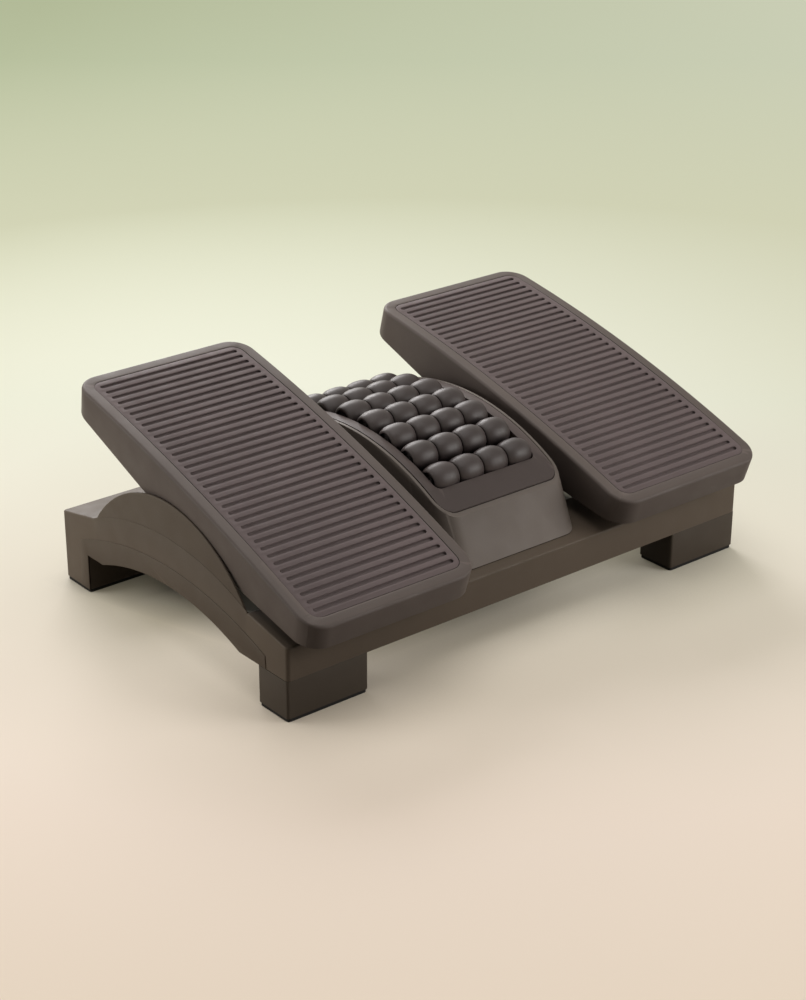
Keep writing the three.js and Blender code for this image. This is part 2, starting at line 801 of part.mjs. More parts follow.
function buildRoller() {
  const endRadius = lobeRadius - lobeSwell;
  const neckRadius = endRadius - lobeGrooveDepth;
  const hubRimRadius = neckRadius - hubRimStep;
  const profile = [];
  for (let lobe = 0; lobe < lobeCount; lobe += 1) {
    const start = -rollerRowHalf + lobe * lobePitch + half(lobeGroove);
    const width = lobePitch - lobeGroove;
    for (const [along, swell] of lobeShares) {
      profile.push([start + width * along, endRadius + lobeSwell * swell]);
    }
    if (lobe + 1 < lobeCount) {
      profile.push([start + width + half(lobeGroove), neckRadius]);
    }
  }
  const edge = profile[profile.length - 1][0];
  const bore = axleRadius + fitGap;
  const ends = [
    [edge, hubRimRadius],
    [edge - hubRecess, hubRimRadius],
    [edge - hubRecess, bore],
  ];
  const closed = [...profile, ...ends, ...ends.slice().reverse().map(([x, r]) => [-x, r]), profile[0]];
  return solid(turnedX(closed, 12));
}

function buildAxle() {
  return solid(rodX(axleRadius, -axleHalf, axleHalf, 8));
}

// Side rails with open slots for the axles, standing on the floor of the base
function buildAxleRail() {
  const steps = 12;
  const upper = [];
  const lower = [];
  for (let i = 0; i <= steps; i += 1) {
    const y = -axleRailFront + ((axleRailFront + axleRailRear) * i) / steps;
    upper.push([y, topArcAt(y, pocketSink)]);
    lower.push([y, topArcAt(y, axleRailDrop)]);
  }
  const high = axleRailInner + axleRailThickness;
  const band = solid(extrudeX([...lower, ...upper.reverse()], axleRailInner, high));
  const legs = axleRailLegYs.map((y) => {
    const top = topArcAt(Math.abs(y) + half(axleRailLeg), pocketSink + overrun);
    const leg = [
      [y - half(axleRailLeg), housingLow],
      [y + half(axleRailLeg), housingLow],
      [y + half(axleRailLeg), top],
      [y - half(axleRailLeg), top],
    ];
    return solid(extrudeX(leg, axleRailInner, high));
  });
  const slots = rollerPlaces.map(([y, z]) => {
    const radius = axleRadius + fitGap;
    const slot = [...arcPoints(0, 0, radius, 180, 360, 4), [radius, rollerSink + overrun],
      [-radius, rollerSink + overrun]];
    const tilt = Math.asin(y / rowRadius);
    return solid(extrudeX(slot, axleRailInner - overrun, high + overrun).rotateX(-tilt).translate(0, y, z));
  });
  const holes = axleRailLegYs.map((y) => solid(rodZ(screwHole, housingLow - overrun,
    housingLow + screwLength, 8).translate(axleRailX, y, 0)));
  return cut(union([band, ...legs]), [...slots, ...holes]);
}

// Pan head screws pointing up, head below
function screwAt(x, y, seat) {
  const head = seat - fitGap;
  const profile = [
    [head - screwHeadHeight, 0],
    [head - screwHeadHeight, screwHead * screwHeadFlatShare],
    [head - screwHeadHeight * screwHeadEdgeShare, screwHead],
    [head, screwHead],
    [head, screwShank],
    [seat + screwLength * screwTaperShare, screwShank],
    [seat + screwLength * screwTipShare, 0],
  ];
  return solid(turnedZ(profile, 8).translate(x, y, 0));
}

// Assembly
const shellRough = 0.62;
const plain = 0;
addNode("base_frame", buildBase(), shellColour, shellRough, plain);
for (const [side, sideName] of [[-1, "left"], [1, "right"]]) {
  addNode(`front_foot_${sideName}`, buildFoot(side), shellColour, shellRough, plain);
  for (const [end, endName] of [[-1, "front"], [1, "rear"]]) {
    addNode(`floor_pad_${endName}_${sideName}`, buildPad(side, end), rubberColour, 0.9, plain);
  }
}
addNode("roller_housing", buildHousing(), shellColour, shellRough, plain);
addNode("roller_cover_plate", buildPlate(), pedalColour, shellRough, plain);

const axleRail = buildAxleRail();
addNode("axle_rail_left", axleRail.mirror([1, 0, 0]), shellColour, shellRough, plain);
addNode("axle_rail_right", axleRail, shellColour, shellRough, plain);

const roller = buildRoller();
const axle = buildAxle();
rollerPlaces.forEach(([y, z], i) => {
  addNode(`roller_${i + 1}`, roller.translate([0, y, z]), rollerColour, 0.45, plain);
  addNode(`roller_axle_${i + 1}`, axle.translate([0, y, z]), steelColour, 0.3, 1);
});

const [outerBush, innerBush] = buildBushes();
const [outerRing, innerRing] = buildRings();
const pedalPieces = [
  ["pedal_shell", buildPedalShell(), pedalColour, shellRough],
  ["pedal_mat", buildMat(), matColour, 0.78],
  ["outer_bush", outerBush, nylonColour, 0.5],
  ["inner_bush", innerBush, nylonColour, 0.5],
];
const fixedPieces = [
  ["pivot_shaft", buildShaft(), steelColour, 0.3, 1],
  ["shaft_clip", buildClip(), steelColour, 0.35, 1],
  ["outer_friction_ring", outerRing, rubberColour, 0.9, plain],
  ["inner_friction_ring", innerRing, rubberColour, 0.9, plain],
];
for (const [side, sideName, tilt] of [[-1, "left", tiltLeft], [1, "right", tiltRight]]) {
  const flip = (body) => (side > 0 ? body : body.mirror([1, 0, 0]));
  for (const [name, body, colour, roughness] of pedalPieces) {
    const placed = flip(body).rotate([tilt, 0, 0]).translate([0, 0, pivotHeight]);
    addNode(`${name}_${sideName}`, placed, colour, roughness, plain);
  }
  for (const [name, body, colour, roughness, metalness] of fixedPieces) {
    addNode(`${name}_${sideName}`, flip(body).translate([0, 0, pivotHeight]), colour, roughness, metalness);
  }
}

const footScrews = [-1, 1].flatMap((side) => footScrewXs.map((x) => [side * x, frontY + half(footDepth)]));
const screwSets = [
  ["foot_screw", footScrews, barHeight - fitGap - wall],
  ["rail_screw", railScrews, floorBottom],
  ["housing_screw", housingScrews, barTopAt(postY + screwHead) - wall],
];
for (const [name, places, seat] of screwSets) {
  places.forEach(([x, y], i) => addNode(`${name}_${i + 1}`, screwAt(x, y, seat), steelColour, 0.35, 1));
}

// The pedals reach past the base unevenly, so the whole is centred front to rear over the origin
const centre = new THREE.Box3().setFromObject(object).getCenter(new THREE.Vector3());
object.children.forEach((mesh) => mesh.geometry.translate(0, -centre.y, 0));

export default object;
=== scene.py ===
import json
import math

import bmesh
import bpy
from bmesh.types import BMEdge, BMFace, BMVert
from bpy.props import FloatProperty, FloatVectorProperty, IntProperty, PointerProperty
from bpy.types import NodeSocket, Operator, Panel, PropertyGroup
from mathutils import Matrix, Vector

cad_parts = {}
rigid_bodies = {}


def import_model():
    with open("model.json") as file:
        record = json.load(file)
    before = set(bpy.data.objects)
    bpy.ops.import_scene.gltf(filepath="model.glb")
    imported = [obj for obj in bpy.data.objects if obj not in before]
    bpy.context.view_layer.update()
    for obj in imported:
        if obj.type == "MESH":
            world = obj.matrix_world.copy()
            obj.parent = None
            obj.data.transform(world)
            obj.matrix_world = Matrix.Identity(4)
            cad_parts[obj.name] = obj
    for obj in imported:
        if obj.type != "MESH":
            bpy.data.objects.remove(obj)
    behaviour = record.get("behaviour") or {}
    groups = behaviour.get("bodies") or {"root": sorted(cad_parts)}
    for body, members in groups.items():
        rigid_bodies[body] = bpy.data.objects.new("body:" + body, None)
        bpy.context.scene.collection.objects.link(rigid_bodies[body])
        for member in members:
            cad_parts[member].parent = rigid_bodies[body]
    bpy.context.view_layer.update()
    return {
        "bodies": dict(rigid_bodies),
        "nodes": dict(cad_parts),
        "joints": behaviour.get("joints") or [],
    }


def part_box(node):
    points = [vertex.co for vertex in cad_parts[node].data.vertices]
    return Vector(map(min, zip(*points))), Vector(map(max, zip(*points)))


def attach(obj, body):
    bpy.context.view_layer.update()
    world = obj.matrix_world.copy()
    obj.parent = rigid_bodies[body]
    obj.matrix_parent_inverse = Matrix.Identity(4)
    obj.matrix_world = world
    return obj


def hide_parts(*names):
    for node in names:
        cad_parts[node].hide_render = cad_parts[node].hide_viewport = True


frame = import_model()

bl_info = {
    "name": "Under desk footrest",
    "version": (1, 0, 0),
    "blender": (4, 5, 0),
    "location": "View3D > Sidebar > Footrest",
    "description": "Dresses the footrest with moulded shells, grooved mats and massage rollers",
    "category": "Object",
}

SIDES = (("left", -1), ("right", 1))
PIVOT = next(j["pos_m"] for j in frame["joints"] if j["child"] == "pedal_left")

# How close two points, or a point and a face, count as one place
SAME, FLUSH = 1e-6, 1e-5
# Roundings of moulded edges
MOULDED_EDGE, FINE_EDGE, RIM_EDGE = 0.0005, 0.0004, 0.0006


# Sizes and colours a user would change

def size(name, value, text):
    return FloatProperty(name=name, default=value, description=text, unit="LENGTH", precision=5)


def ratio(name, value, text):
    return FloatProperty(name=name, default=value, description=text, precision=5)


def angle(name, degrees, text):
    value = math.radians(degrees)
    return FloatProperty(name=name, default=value, description=text, subtype="ANGLE")


def count(name, value, text):
    return IntProperty(name=name, default=value, description=text, min=1)


def colour(name, value, text):
    return FloatVectorProperty(
        name=name, default=value, description=text, subtype="COLOR", size=3, min=0, max=1
    )


class FootrestBaseSizes(PropertyGroup):
    half_width: size("Half width", 0.2205, "From the middle to the face of a side arch")
    half_depth: size("Half depth", 0.14375, "From the base's middle to its front face")
    middle: size("Middle", PIVOT[1], "From the origin back to the base's middle")
    bar_depth: size("Bar depth", 0.046, "Depth of a bar")
    seam: size("Seam height", 0.032, "Height of the seam over a foot")
    edge_top: size("Edge height", 0.0575, "Height of a bar's outer edge")
    inner_top: size("Inner height", 0.0668, "Height of a bar's inner edge")
    corner: size("Corner radius", 0.003, "Rounding of upright corners")
    wall: size("Wall", 0.0026, "Thickness of moulded walls")
    panel: size("Arch panel", 0.0022, "Thickness of a side arch")
    arch_radius: size("Arch radius", 0.119, "Radius of a side arch's top")
    arch_drop: size("Arch centre drop", 0.0035, "How far the arch's centre lies under z 0")
    under_half: size("Under arch half width", 0.088, "Half width of the opening below it")
    under_crest: size("Under arch crest", 0.0492, "Height of the opening below it")
    lip_radius: size("Lip radius", 0.318, "Radius of the proud lip")
    lip_crest: size("Lip crest", 0.065, "Height of the proud lip")
    lip_half: size("Lip half width", 0.1185, "Half width of the proud lip")
    lip_step: size("Lip step", 0.0006, "How far the lip stands proud")
    crown_radius: size("Crown line radius", 0.244, "Radius of the faint line")
    crown_crest: size("Crown line crest", 0.0877, "Height of the faint line")
    crown_step: size("Crown step", 0.0003, "How far the crown is set back")
    foot_width: size("Foot width", 0.0705, "Width of a foot")
    foot_depth: size("Foot depth", 0.0345, "Depth of a foot")
    foot_bottom: size("Foot bottom", 0.0029, "Height of a foot's underside")
    rail_inner: size("Rail face", 0.0622, "From the middle to an inner rail")
    rail_foot: size("Rail foot", 0.044, "Height of the inner rails' underside")
    floor_bottom: size("Floor height", 0.0497, "Height of the floor's underside")
    pivot_height: size("Pivot height", PIVOT[2], "Height of the pedal pivots")
    boss_radius: size("Boss radius", 0.013, "Radius of the pivots' bosses")
    soft_edge: size("Edge rounding", 0.0005, "Rounding of moulded edges")


class FootrestPedalSizes(PropertyGroup):
    near: size("Near side", 0.069, "From the middle to a pedal's near side")
    far: size("Far side", 0.2201, "From the middle to its far side")
    front: size("Front reach", 0.1572, "From the pivot to the front end")
    rear: size("Rear reach", 0.1445, "From the pivot to the rear end")
    crest: size("Crest", 0.0761, "Height of the deck over the pivot")
    bow: size("Deck radius", 1.480, "Radius of the deck's bow")
    corner: size("Corner radius", 0.0185, "Rounding of the deck's corners")
    edge: size("Edge radius", 0.0024, "Rounding of the top edge")
    skirt_middle: size("Skirt at middle", 0.033, "Height of the skirt's edge over the pivot")
    skirt_rise: ratio("Skirt rise", 0.09335, "How fast the skirt's edge rises to the ends")
    lean: ratio("Lean", 0.1065, "Lean of the outer wall, as a share of its height")
    rim: size("Rim", 0.0092, "Width of the rim round the mat")
    recess: size("Recess", 0.003, "Depth of the recess for the mat")
    deck: size("Deck", 0.0028, "Thickness of the deck")
    tilt_left: angle("Left tilt", 17.25, "Tilt of the left pedal")
    tilt_right: angle("Right tilt", 14.5, "Tilt of the right pedal")
    gap: size("Gap", 0.0004, "Gap between the mat and its recess")
    pitch: size("Groove pitch", 0.0079, "Distance from one groove to the next")
    grooves: count("Grooves", 35, "Number of grooves across a mat")
    groove_radius: size("Groove radius", 0.0018, "Half width of a groove")
    groove_reach: size("Groove reach", 0.06095, "From the middle of a groove to its end")
    groove_shift: size("Groove shift", -0.0002, "From the mat's middle to the grooves'")
    groove_depth: size("Groove depth", 0.0017, "Depth of a groove")


class FootrestHousingSizes(PropertyGroup):
    half_width: size("Half width", 0.0595, "From the middle to a side")
    foot_reach: size("Foot reach", 0.1342, "Half length at the bars' edge height")
    lean: ratio("Lean", 0.3984, "Lean of the ends, as a share of their height")
    corner: size("Corner radius", 0.014, "Rounding of upright corners")
    arc: size("Top radius", 0.212, "Radius of the top")
    crest: size("Crest", 0.1322, "Height of the top")
    rim: size("Rim", 0.0027, "Width of the rim round the plate")
    ledge: size("Ledge", 0.0022, "Width of the ledge under the plate")
    plate: size("Plate", 0.0018, "Thickness of the plate")
    gap: size("Gap", 0.0006, "Gap round the plate")
    opening_half: size("Opening half width", 0.048, "Half width of the roller opening")
    opening_front: size("Opening front", 0.09581, "From the middle to its front edge")
    opening_rear: size("Opening rear", 0.08074, "From the middle to its rear edge")
    opening_corner: size("Opening corner", 0.005, "Rounding of the opening's corners")


class FootrestRollerSizes(PropertyGroup):
    pitch: size("Lobe pitch", 0.0235, "Length of one lobe")
    lobes: count("Lobes", 4, "Number of lobes on a roller")
    radius: size("Lobe radius", 0.012, "Radius at the middle of a lobe")
    end_radius: size("End radius", 0.0093, "Radius at the end of a lobe")
    gap: size("Gap", 0.0007, "Gap between two lobes")
    neck: size("Neck radius", 0.0082, "Radius in the gap between two lobes")
    bore: size("Bore radius", 0.0018, "Radius of the hole for the axle")
    hub: size("Hub radius", 0.0040, "Radius of the hub in the hollow end")
    hollow: size("Hollow radius", 0.0076, "Radius of the hollow in the end")
    recess: size("Hollow depth", 0.0022, "Depth of the hollow in the end")


class FootrestFinishes(PropertyGroup):
    shell: colour("Shell", (0.101, 0.076, 0.055), "Moulded plastic of the base")
    # The feet are the shell's plastic; their darker tone is painted shade for their shaded faces
    foot: colour("Foot", (0.056, 0.042, 0.030), "Moulded plastic of the riser feet")
    # The housing's more neutral hue is its own; its lighter tone is painted light for its brightly
    # lit front face
    housing: colour("Housing", (0.142, 0.118, 0.101), "Moulded plastic of the roller housing")
    pedal: colour("Pedal", (0.115, 0.091, 0.080), "Moulded plastic of the pedals")
    plate: colour("Plate", (0.076, 0.058, 0.053), "Moulded plastic of the cover plate")
    mat: colour("Mat", (0.139, 0.107, 0.104), "Soft rubber of the mats")
    roller: colour("Roller", (0.057, 0.043, 0.041), "Satin plastic of the rollers")
    pad: colour("Pad", (0.022, 0.020, 0.019), "Rubber of pads and friction rings")
    steel: colour("Steel", (0.50, 0.50, 0.50), "Plated steel of shafts, axles and screws")
    nylon: colour("Nylon", (0.62, 0.58, 0.48), "Nylon of the bushes")
    floor_near: colour("Floor near", (0.783, 0.672, 0.558), "The floor near the camera")
    floor_middle: colour("Floor middle", (0.655, 0.665, 0.535), "The floor behind the object")
    floor_far: colour("Floor far", (0.456, 0.520, 0.380), "The distant floor on the left")
    floor_side: colour("Floor side", (0.600, 0.650, 0.560), "The distant floor on the right")
    bounce: colour("Bounce", (0.11, 0.10, 0.09), "The floor as it lights the object")
    backdrop: colour("Backdrop", (0.54, 0.55, 0.48), "The world past the floor")


# Shapes

def only(kind, geometry):
    return [g for g in geometry if isinstance(g, kind)]


def move(bm, offset, verts=None):
    bmesh.ops.translate(bm, vec=offset, verts=bm.verts if verts is None else verts)


def inset_faces(bm, faces, width):
    bmesh.ops.inset_region(bm, faces=faces, thickness=width, use_even_offset=True)


def face_outwards(bm):
    bmesh.ops.recalc_face_normals(bm, faces=bm.faces)


def open_edges(bm):
    return [e for e in bm.edges if e.is_boundary]


def extrude_edges(bm, edges):
    return bmesh.ops.extrude_edge_only(bm, edges=edges)["geom"]


def rounded_sheet(low, high, corner, segments, z=0.0):
    """One flat face between two corners (x, y), with rounded corners of its own."""
    bm = bmesh.new()
    bmesh.ops.create_grid(bm, x_segments=1, y_segments=1, size=0.5)
    reach = (high[0] - low[0], high[1] - low[1], 1)
    middle = ((low[0] + high[0]) / 2, (low[1] + high[1]) / 2, z)
    bmesh.ops.scale(bm, vec=reach, verts=bm.verts)
    move(bm, middle)
    if corner > 0:
        bmesh.ops.bevel(
            bm, geom=bm.verts[:], offset=corner, offset_type="OFFSET", segments=segments,
            profile=0.5, affect="VERTICES", material=-1,
        )
    return bm


def closed_ring(bm, places):
    """The points and edges of a closed ring through places."""
    verts = [bm.verts.new(place) for place in places]
    return verts, [bm.edges.new(pair) for pair in zip(verts, verts[1:] + verts[:1])]


def arc(centre_z, radius, half, steps):
    """Points (y, z) on an upper arc about a centre on the middle line, half to either side."""
    stop = math.asin(half / radius)
    turns = [-stop + 2 * stop * i / steps for i in range(steps + 1)]
    return [(radius * math.sin(a), centre_z + radius * math.cos(a)) for a in turns]


def raise_faces(bm, faces, offset):
    """Extrudes faces by an offset and gives back the moved faces."""
    made = bmesh.ops.extrude_face_region(bm, geom=faces)["geom"]
    move(bm, offset, only(BMVert, made))
    bmesh.ops.delete(bm, geom=[f for f in faces if f.is_valid], context="FACES_ONLY")
    return only(BMFace, made)


def hollow_out(bm, wall, depth):
    """Sinks a hollow into the underside of a block and gives back its roof."""
    under = [f for f in bm.faces if f.normal.z < -0.9]
    inset_faces(bm, under, wall)
    return raise_faces(bm, under, (0, 0, depth))


def thicken(bm, offset):
    """Turns an open sheet into a closed slab."""
    made = bmesh.ops.extrude_face_region(bm, geom=bm.faces[:], use_keep_orig=True)["geom"]
    move(bm, offset, only(BMVert, made))
    face_outwards(bm)
    return bm


def slab(points, x, width):
    """A closed slab through points (y, z), from a place across the footrest outwards."""
    bm = bmesh.new()
    edges = closed_ring(bm, [(x, y, z) for y, z in points])[1]
    bmesh.ops.edgeloop_fill(bm, edges=edges)
    return thicken(bm, (width, 0, 0))


def slices(bm, places):
    """Cuts the whole shape crosswise at places along Y."""
    for place in places:
        bmesh.ops.bisect_plane(
            bm, geom=bm.verts[:] + bm.edges[:] + bm.faces[:], dist=SAME,
            plane_co=(0, place, 0), plane_no=(0, 1, 0),
        )


def spread(low, high, parts):
    """The places that divide a stretch into equal parts, without its ends."""
    return [low + (high - low) * i / parts for i in range(1, parts)]


def upright(edge):
    return abs(edge.verts[0].co.z - edge.verts[1].co.z) > 0.01


def soften(bm, width, segments, keep=None, angle=40):
    """Rounds the sharp edges that pass a test of their middle and themselves."""
    chosen = [
        e for e in bm.edges
        if len(e.link_faces) == 2 and e.calc_face_angle(0) > math.radians(angle)
        and (keep is None or keep((e.verts[0].co + e.verts[1].co) / 2, e))
    ]
    if chosen:
        bmesh.ops.bevel(
            bm, geom=chosen, offset=width, offset_type="OFFSET", segments=segments,
            profile=0.5, affect="EDGES", clamp_overlap=True, material=-1,
        )


def block(low, high, edge=0.0):
    bm = bmesh.new()
    bmesh.ops.create_cube(bm, size=1)
    bmesh.ops.scale(bm, vec=[b - a for a, b in zip(low, high)], verts=bm.verts)
    move(bm, [(a + b) / 2 for a, b in zip(low, high)])
    if edge > 0:
        soften(bm, edge, 2)
    return bm


def barrel(radius, low, high, y, z, edge):
    """A closed cylinder along X from low to high."""
    bm = bmesh.new()
    turn = Matrix.Rotation(math.pi / 2, 4, "Y")
    bmesh.ops.create_cone(
        bm, cap_ends=True, segments=32, radius1=radius, radius2=radius,
        depth=high - low, matrix=Matrix.Translation(((low + high) / 2, y, z)) @ turn,
    )
    soften(bm, edge, 2)
    return bm


def mirrored(bm, axis):
    factor = [1, 1, 1]
    factor[axis] = -1
    bmesh.ops.scale(bm, vec=factor, verts=bm.verts)
    bmesh.ops.reverse_faces(bm, faces=bm.faces)
    return bm


def joined(parts):
    whole = bmesh.new()
    for part in parts:
        mesh = bpy.data.meshes.new("part")
        part.to_mesh(mesh)
        whole.from_mesh(mesh)
        part.free()
        bpy.data.meshes.remove(mesh)
    return whole


def object_of(bm, name, material):
    mesh = bpy.data.meshes.new(name)
    bm.to_mesh(mesh)
    bm.free()
    mesh.materials.append(material)
    made = bpy.data.objects.new(name, mesh)
    bpy.context.scene.collection.objects.link(made)
    return made


def finish_piece(bm, name, body, slot, kind, *nodes, smooth=32):
    """Makes an object with its finish and its body, and hides the nodes it stands for. The slot is
    not used.
    """
    face_outwards(bm)
    piece = object_of(bm, name, finish_of(kind))
    piece.data.shade_smooth()
    piece.data.set_sharp_from_angle(angle=math.radians(smooth))
    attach(piece, body)
    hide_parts(*nodes)


# Finishes

COARSE_GRAIN, FINE_GRAIN = 0.00012, 0.00006
# The colour sockets of a Mix node, whose names its other kinds share
COLOUR_A, COLOUR_B, COLOUR_RESULT = 6, 7, 2

# Shares of X and Y in the direction that leads away from the camera over the floor
AHEAD_X, AHEAD_Y = 0.63, 0.77
# Where the tones of the floor run into one another, ahead and across, in metres
NEAR_TO_MIDDLE = (-0.35, 0.35)
MIDDLE_TO_DISTANT = (0.45, 1.7)
FAR_TO_SIDE = (-0.6, 0.7)
# Away from the object the floor is lit less by the lamps and glows more by itself
LIGHT_REACH = (0.40, 1.00)
LIT_SHARE, LIT_TINT = (0.80, 0.05), (0.95, 0.97, 1.06)
GLOW_SHARE, GLOW_TINT = (0.36, 0.87), (1.08, 1.04, 0.90)
# How far the painted contact shadow in the floor's glow reaches
CONTACT_SHADOW_REACH = 0.10
# The deep shade between the feet: where each side of it sets in, and its slant
SHADE_LEFT, SHADE_RIGHT = (-0.190, -0.135), (0.190, 0.235)
SHADE_FRONT, SHADE_BACK = (-0.10, -0.01), (0.09, 0.17)
SHADE_SLANT, SHADE_LEAST = 0.3, 0.04


def add_node(tree, kind, output, sockets, **values):
    """Adds a shader node, fills its sockets with values or links, and gives back an output."""
    made = tree.nodes.new(f"ShaderNode{kind}")
    for key, value in values.items():
        setattr(made, key, value)
    for key, value in sockets.items():
        if isinstance(value, NodeSocket):
            tree.links.new(value, made.inputs[key])
        else:
            made.inputs[key].default_value = value
    return made.outputs[output]


def seen_share(tree):
    """1 for what the camera, metal and glass see, and 0 for what lights the object."""
    path = tree.nodes.new("ShaderNodeLightPath").outputs
    seen = path["Is Camera Ray"]
    for kind in ("Is Glossy Ray", "Is Transmission Ray"):
        seen = add_node(tree, "Math", "Value", {0: seen, 1: path[kind]}, operation="ADD")
    return seen


def shade(tone, factor):
    return tuple(min(1.0, c * factor) for c in tone)


class Finish:
    """A node material under construction, read in object coordinates."""

    def __init__(self, name):
        self.material = bpy.data.materials.new(name)
        self.material.use_nodes = True
        self.tree = self.material.node_tree
        self.shader = self.tree.nodes["Principled BSDF"].inputs
        self.place = self.add("TexCoord", "Object", {})

    def add(self, kind, output, sockets, **values):
        return add_node(self.tree, kind, output, sockets, **values)

    def feed(self, socket, source):
        """Links a source to a socket of the shader."""
        self.tree.links.new(source, self.shader[socket])

    def fix(self, socket, value):
        """Sets a socket of the shader to one value all over."""
        self.shader[socket].default_value = value

    def noise(self, scale, detail=2.0, roughness=0.5, stretch=None):
        place = self.place
        if stretch:
            place = self.add("Mapping", "Vector", {"Vector": place, "Scale": stretch})
        sockets = {"Vector": place, "Scale": scale, "Detail": detail, "Roughness": roughness}
        return self.add("TexNoise", "Fac", sockets)

    def span(self, value, low, high, to_low=0.0, to_high=1.0):
        return self.add("MapRange", "Result", {
            "Value": value, "From Min": low, "From Max": high, "To Min": to_low, "To Max": to_high,
        })

    def blend(self, factor, first, second):
        """Mixes two colours, each a tone or an output."""
        first, second = (
            v if isinstance(v, NodeSocket) else (*v, 1) for v in (first, second))
        sockets = {"Factor": factor, COLOUR_A: first, COLOUR_B: second}
        return self.add("Mix", COLOUR_RESULT, sockets, data_type="RGBA")

    def sum(self, first, second):
        return self.add("Math", "Value", {0: first, 1: second}, operation="ADD")

    def product(self, first, *others):
        for other in others:
            first = self.add("Math", "Value", {0: first, 1: other}, operation="MULTIPLY")
        return first

    def tinted(self, tone, tint, share):
        """A tone times a tint, dimmed to a share."""
        tone = self.add("VectorMath", "Vector", {0: tone, 1: tint}, operation="MULTIPLY")
        sockets = {"Vector": tone, "Scale": share}
        return self.add("VectorMath", "Vector", sockets, operation="SCALE")

    def relief(self, height, strength, distance, under=None):
        sockets = {"Strength": strength, "Distance": distance, "Height": height}
        if under:
            sockets["Normal"] = under
        return self.add("Bump", "Normal", sockets)

    def open_share(self, distance, low, high):
        """0 deep in a gap or groove, 1 on an open face, read from ambient occlusion to paint shade
        into a colour.
        """
        occlusion = self.add("AmbientOcclusion", "AO", {"Distance": distance}, samples=8)
        return self.span(occlusion, low, high)

    def drifting(self, tone, scale, dark, light, low=0.35, high=0.65):
        """The tone, in slow drifts between a darker and a lighter shade."""
        drift = self.span(self.noise(scale, 3.0), low, high)
        return self.blend(drift, shade(tone, dark), shade(tone, light))

    def flecked(self, body, fleck, where, low, high, most):
        """A body that takes on another colour where a value runs high."""
        return self.blend(self.span(where, low, high, 0.0, most), body, fleck)

    def painted_gap_shade(self, body, dark, distance, low, high):
        """A body with painted shade deep in gaps and grooves."""
        return self.blend(self.open_share(distance, low, high), dark, body)

    def roughened(self, scale, detail, smooth, rough):
        self.feed("Roughness", self.span(self.noise(scale, detail), 0.3, 0.7, smooth, rough))

    def pebbled(self, coarse, fine, strength):
        """Two grains in the surface, a fine one on top of a coarse one."""
        under = self.relief(self.noise(coarse, 2.0), strength, COARSE_GRAIN)
        self.feed("Normal", self.relief(self.noise(fine, 1.0), strength, FINE_GRAIN, under))


def moulded_plastic(f, tone):
    """Matt moulded plastic: a fine spark grain, slow drifts of tone, a painted highlight along
    convex edges and painted shade in gaps.
    """
    body = f.drifting(tone, scale=9.0, dark=0.94, light=1.06)
    speck = f.noise(1500.0, 1.0)
    body = f.flecked(body, shade(tone, 1.45), speck, low=0.60, high=0.78, most=0.35)
    # Painted highlight: convex edges are lightened by their pointiness
    edge = f.add("NewGeometry", "Pointiness", {})
    body = f.flecked(body, shade(tone, 1.8), edge, low=0.52, high=0.60, most=0.35)
    # Painted shade, deep in gaps and seams
    f.feed("Base Color", f.painted_gap_shade(body, shade(tone, 0.28), distance=0.0025, low=0.30, high=0.75))
    f.roughened(scale=60.0, detail=4.0, smooth=0.50, rough=0.62)
    f.pebbled(coarse=900.0, fine=2600.0, strength=0.22)
    f.fix("Specular IOR Level", 0.24)


def soft_rubber(f, tone):
    """Soft touch rubber: dull, dusty, with a fine pebble and painted shade in its grooves."""
    body = f.drifting(tone, scale=14.0, dark=0.94, light=1.07)
    dust = f.noise(1100.0, 2.0, 0.6)
    body = f.flecked(body, shade(tone, 1.7), dust, low=0.62, high=0.80, most=0.45)
    # Painted shade, deep in the grooves
    f.feed("Base Color", f.painted_gap_shade(body, shade(tone, 0.38), distance=0.003, low=0.35, high=0.90))
    f.roughened(scale=90.0, detail=3.0, smooth=0.60, rough=0.74)
    f.pebbled(coarse=1000.0, fine=2400.0, strength=0.25)
    f.fix("Specular IOR Level", 0.20)


def satin_plastic(f, tone):
    """Smooth satin plastic of the rollers, with faint turning marks, handling haze and painted
    shade in the seams between lobes.
    """
    body = f.drifting(tone, scale=30.0, dark=0.92, light=1.10)
    # Painted shade, deep in the seams between lobes
    f.feed("Base Color", f.painted_gap_shade(body, shade(tone, 0.25), distance=0.006, low=0.25, high=0.80))
    f.roughened(scale=45.0, detail=4.0, smooth=0.40, rough=0.50)
    marks = f.noise(220.0, 2.0, stretch=(6.0, 1.0, 1.0))
    f.feed("Normal", f.relief(marks, strength=0.08, distance=0.00008))
    f.fix("Specular IOR Level", 0.36)


def plated_steel(f, tone):
    """Zinc plated steel with fine lines along X."""
    body = f.drifting(tone, scale=60.0, dark=0.85, light=1.1, low=0.3, high=0.7)
    f.feed("Base Color", body)
    lines = f.noise(900.0, 2.0, stretch=(0.05, 1.0, 1.0))
    f.feed("Roughness", f.span(lines, 0.3, 0.7, 0.24, 0.42))
    f.feed("Normal", f.relief(lines, strength=0.12, distance=0.00005))
    f.fix("Metallic", 1.0)


def natural_nylon(f, tone):
    """Slightly cloudy nylon."""
    cloud = f.span(f.noise(120.0, 3.0), 0.3, 0.7)
    f.feed("Base Color", f.blend(cloud, shade(tone, 0.92), shade(tone, 1.05)))
    f.feed("Roughness", f.span(cloud, 0.0, 1.0, 0.38, 0.5))
    f.feed("Normal", f.relief(f.noise(1500.0, 1.0), strength=0.1, distance=0.00005))


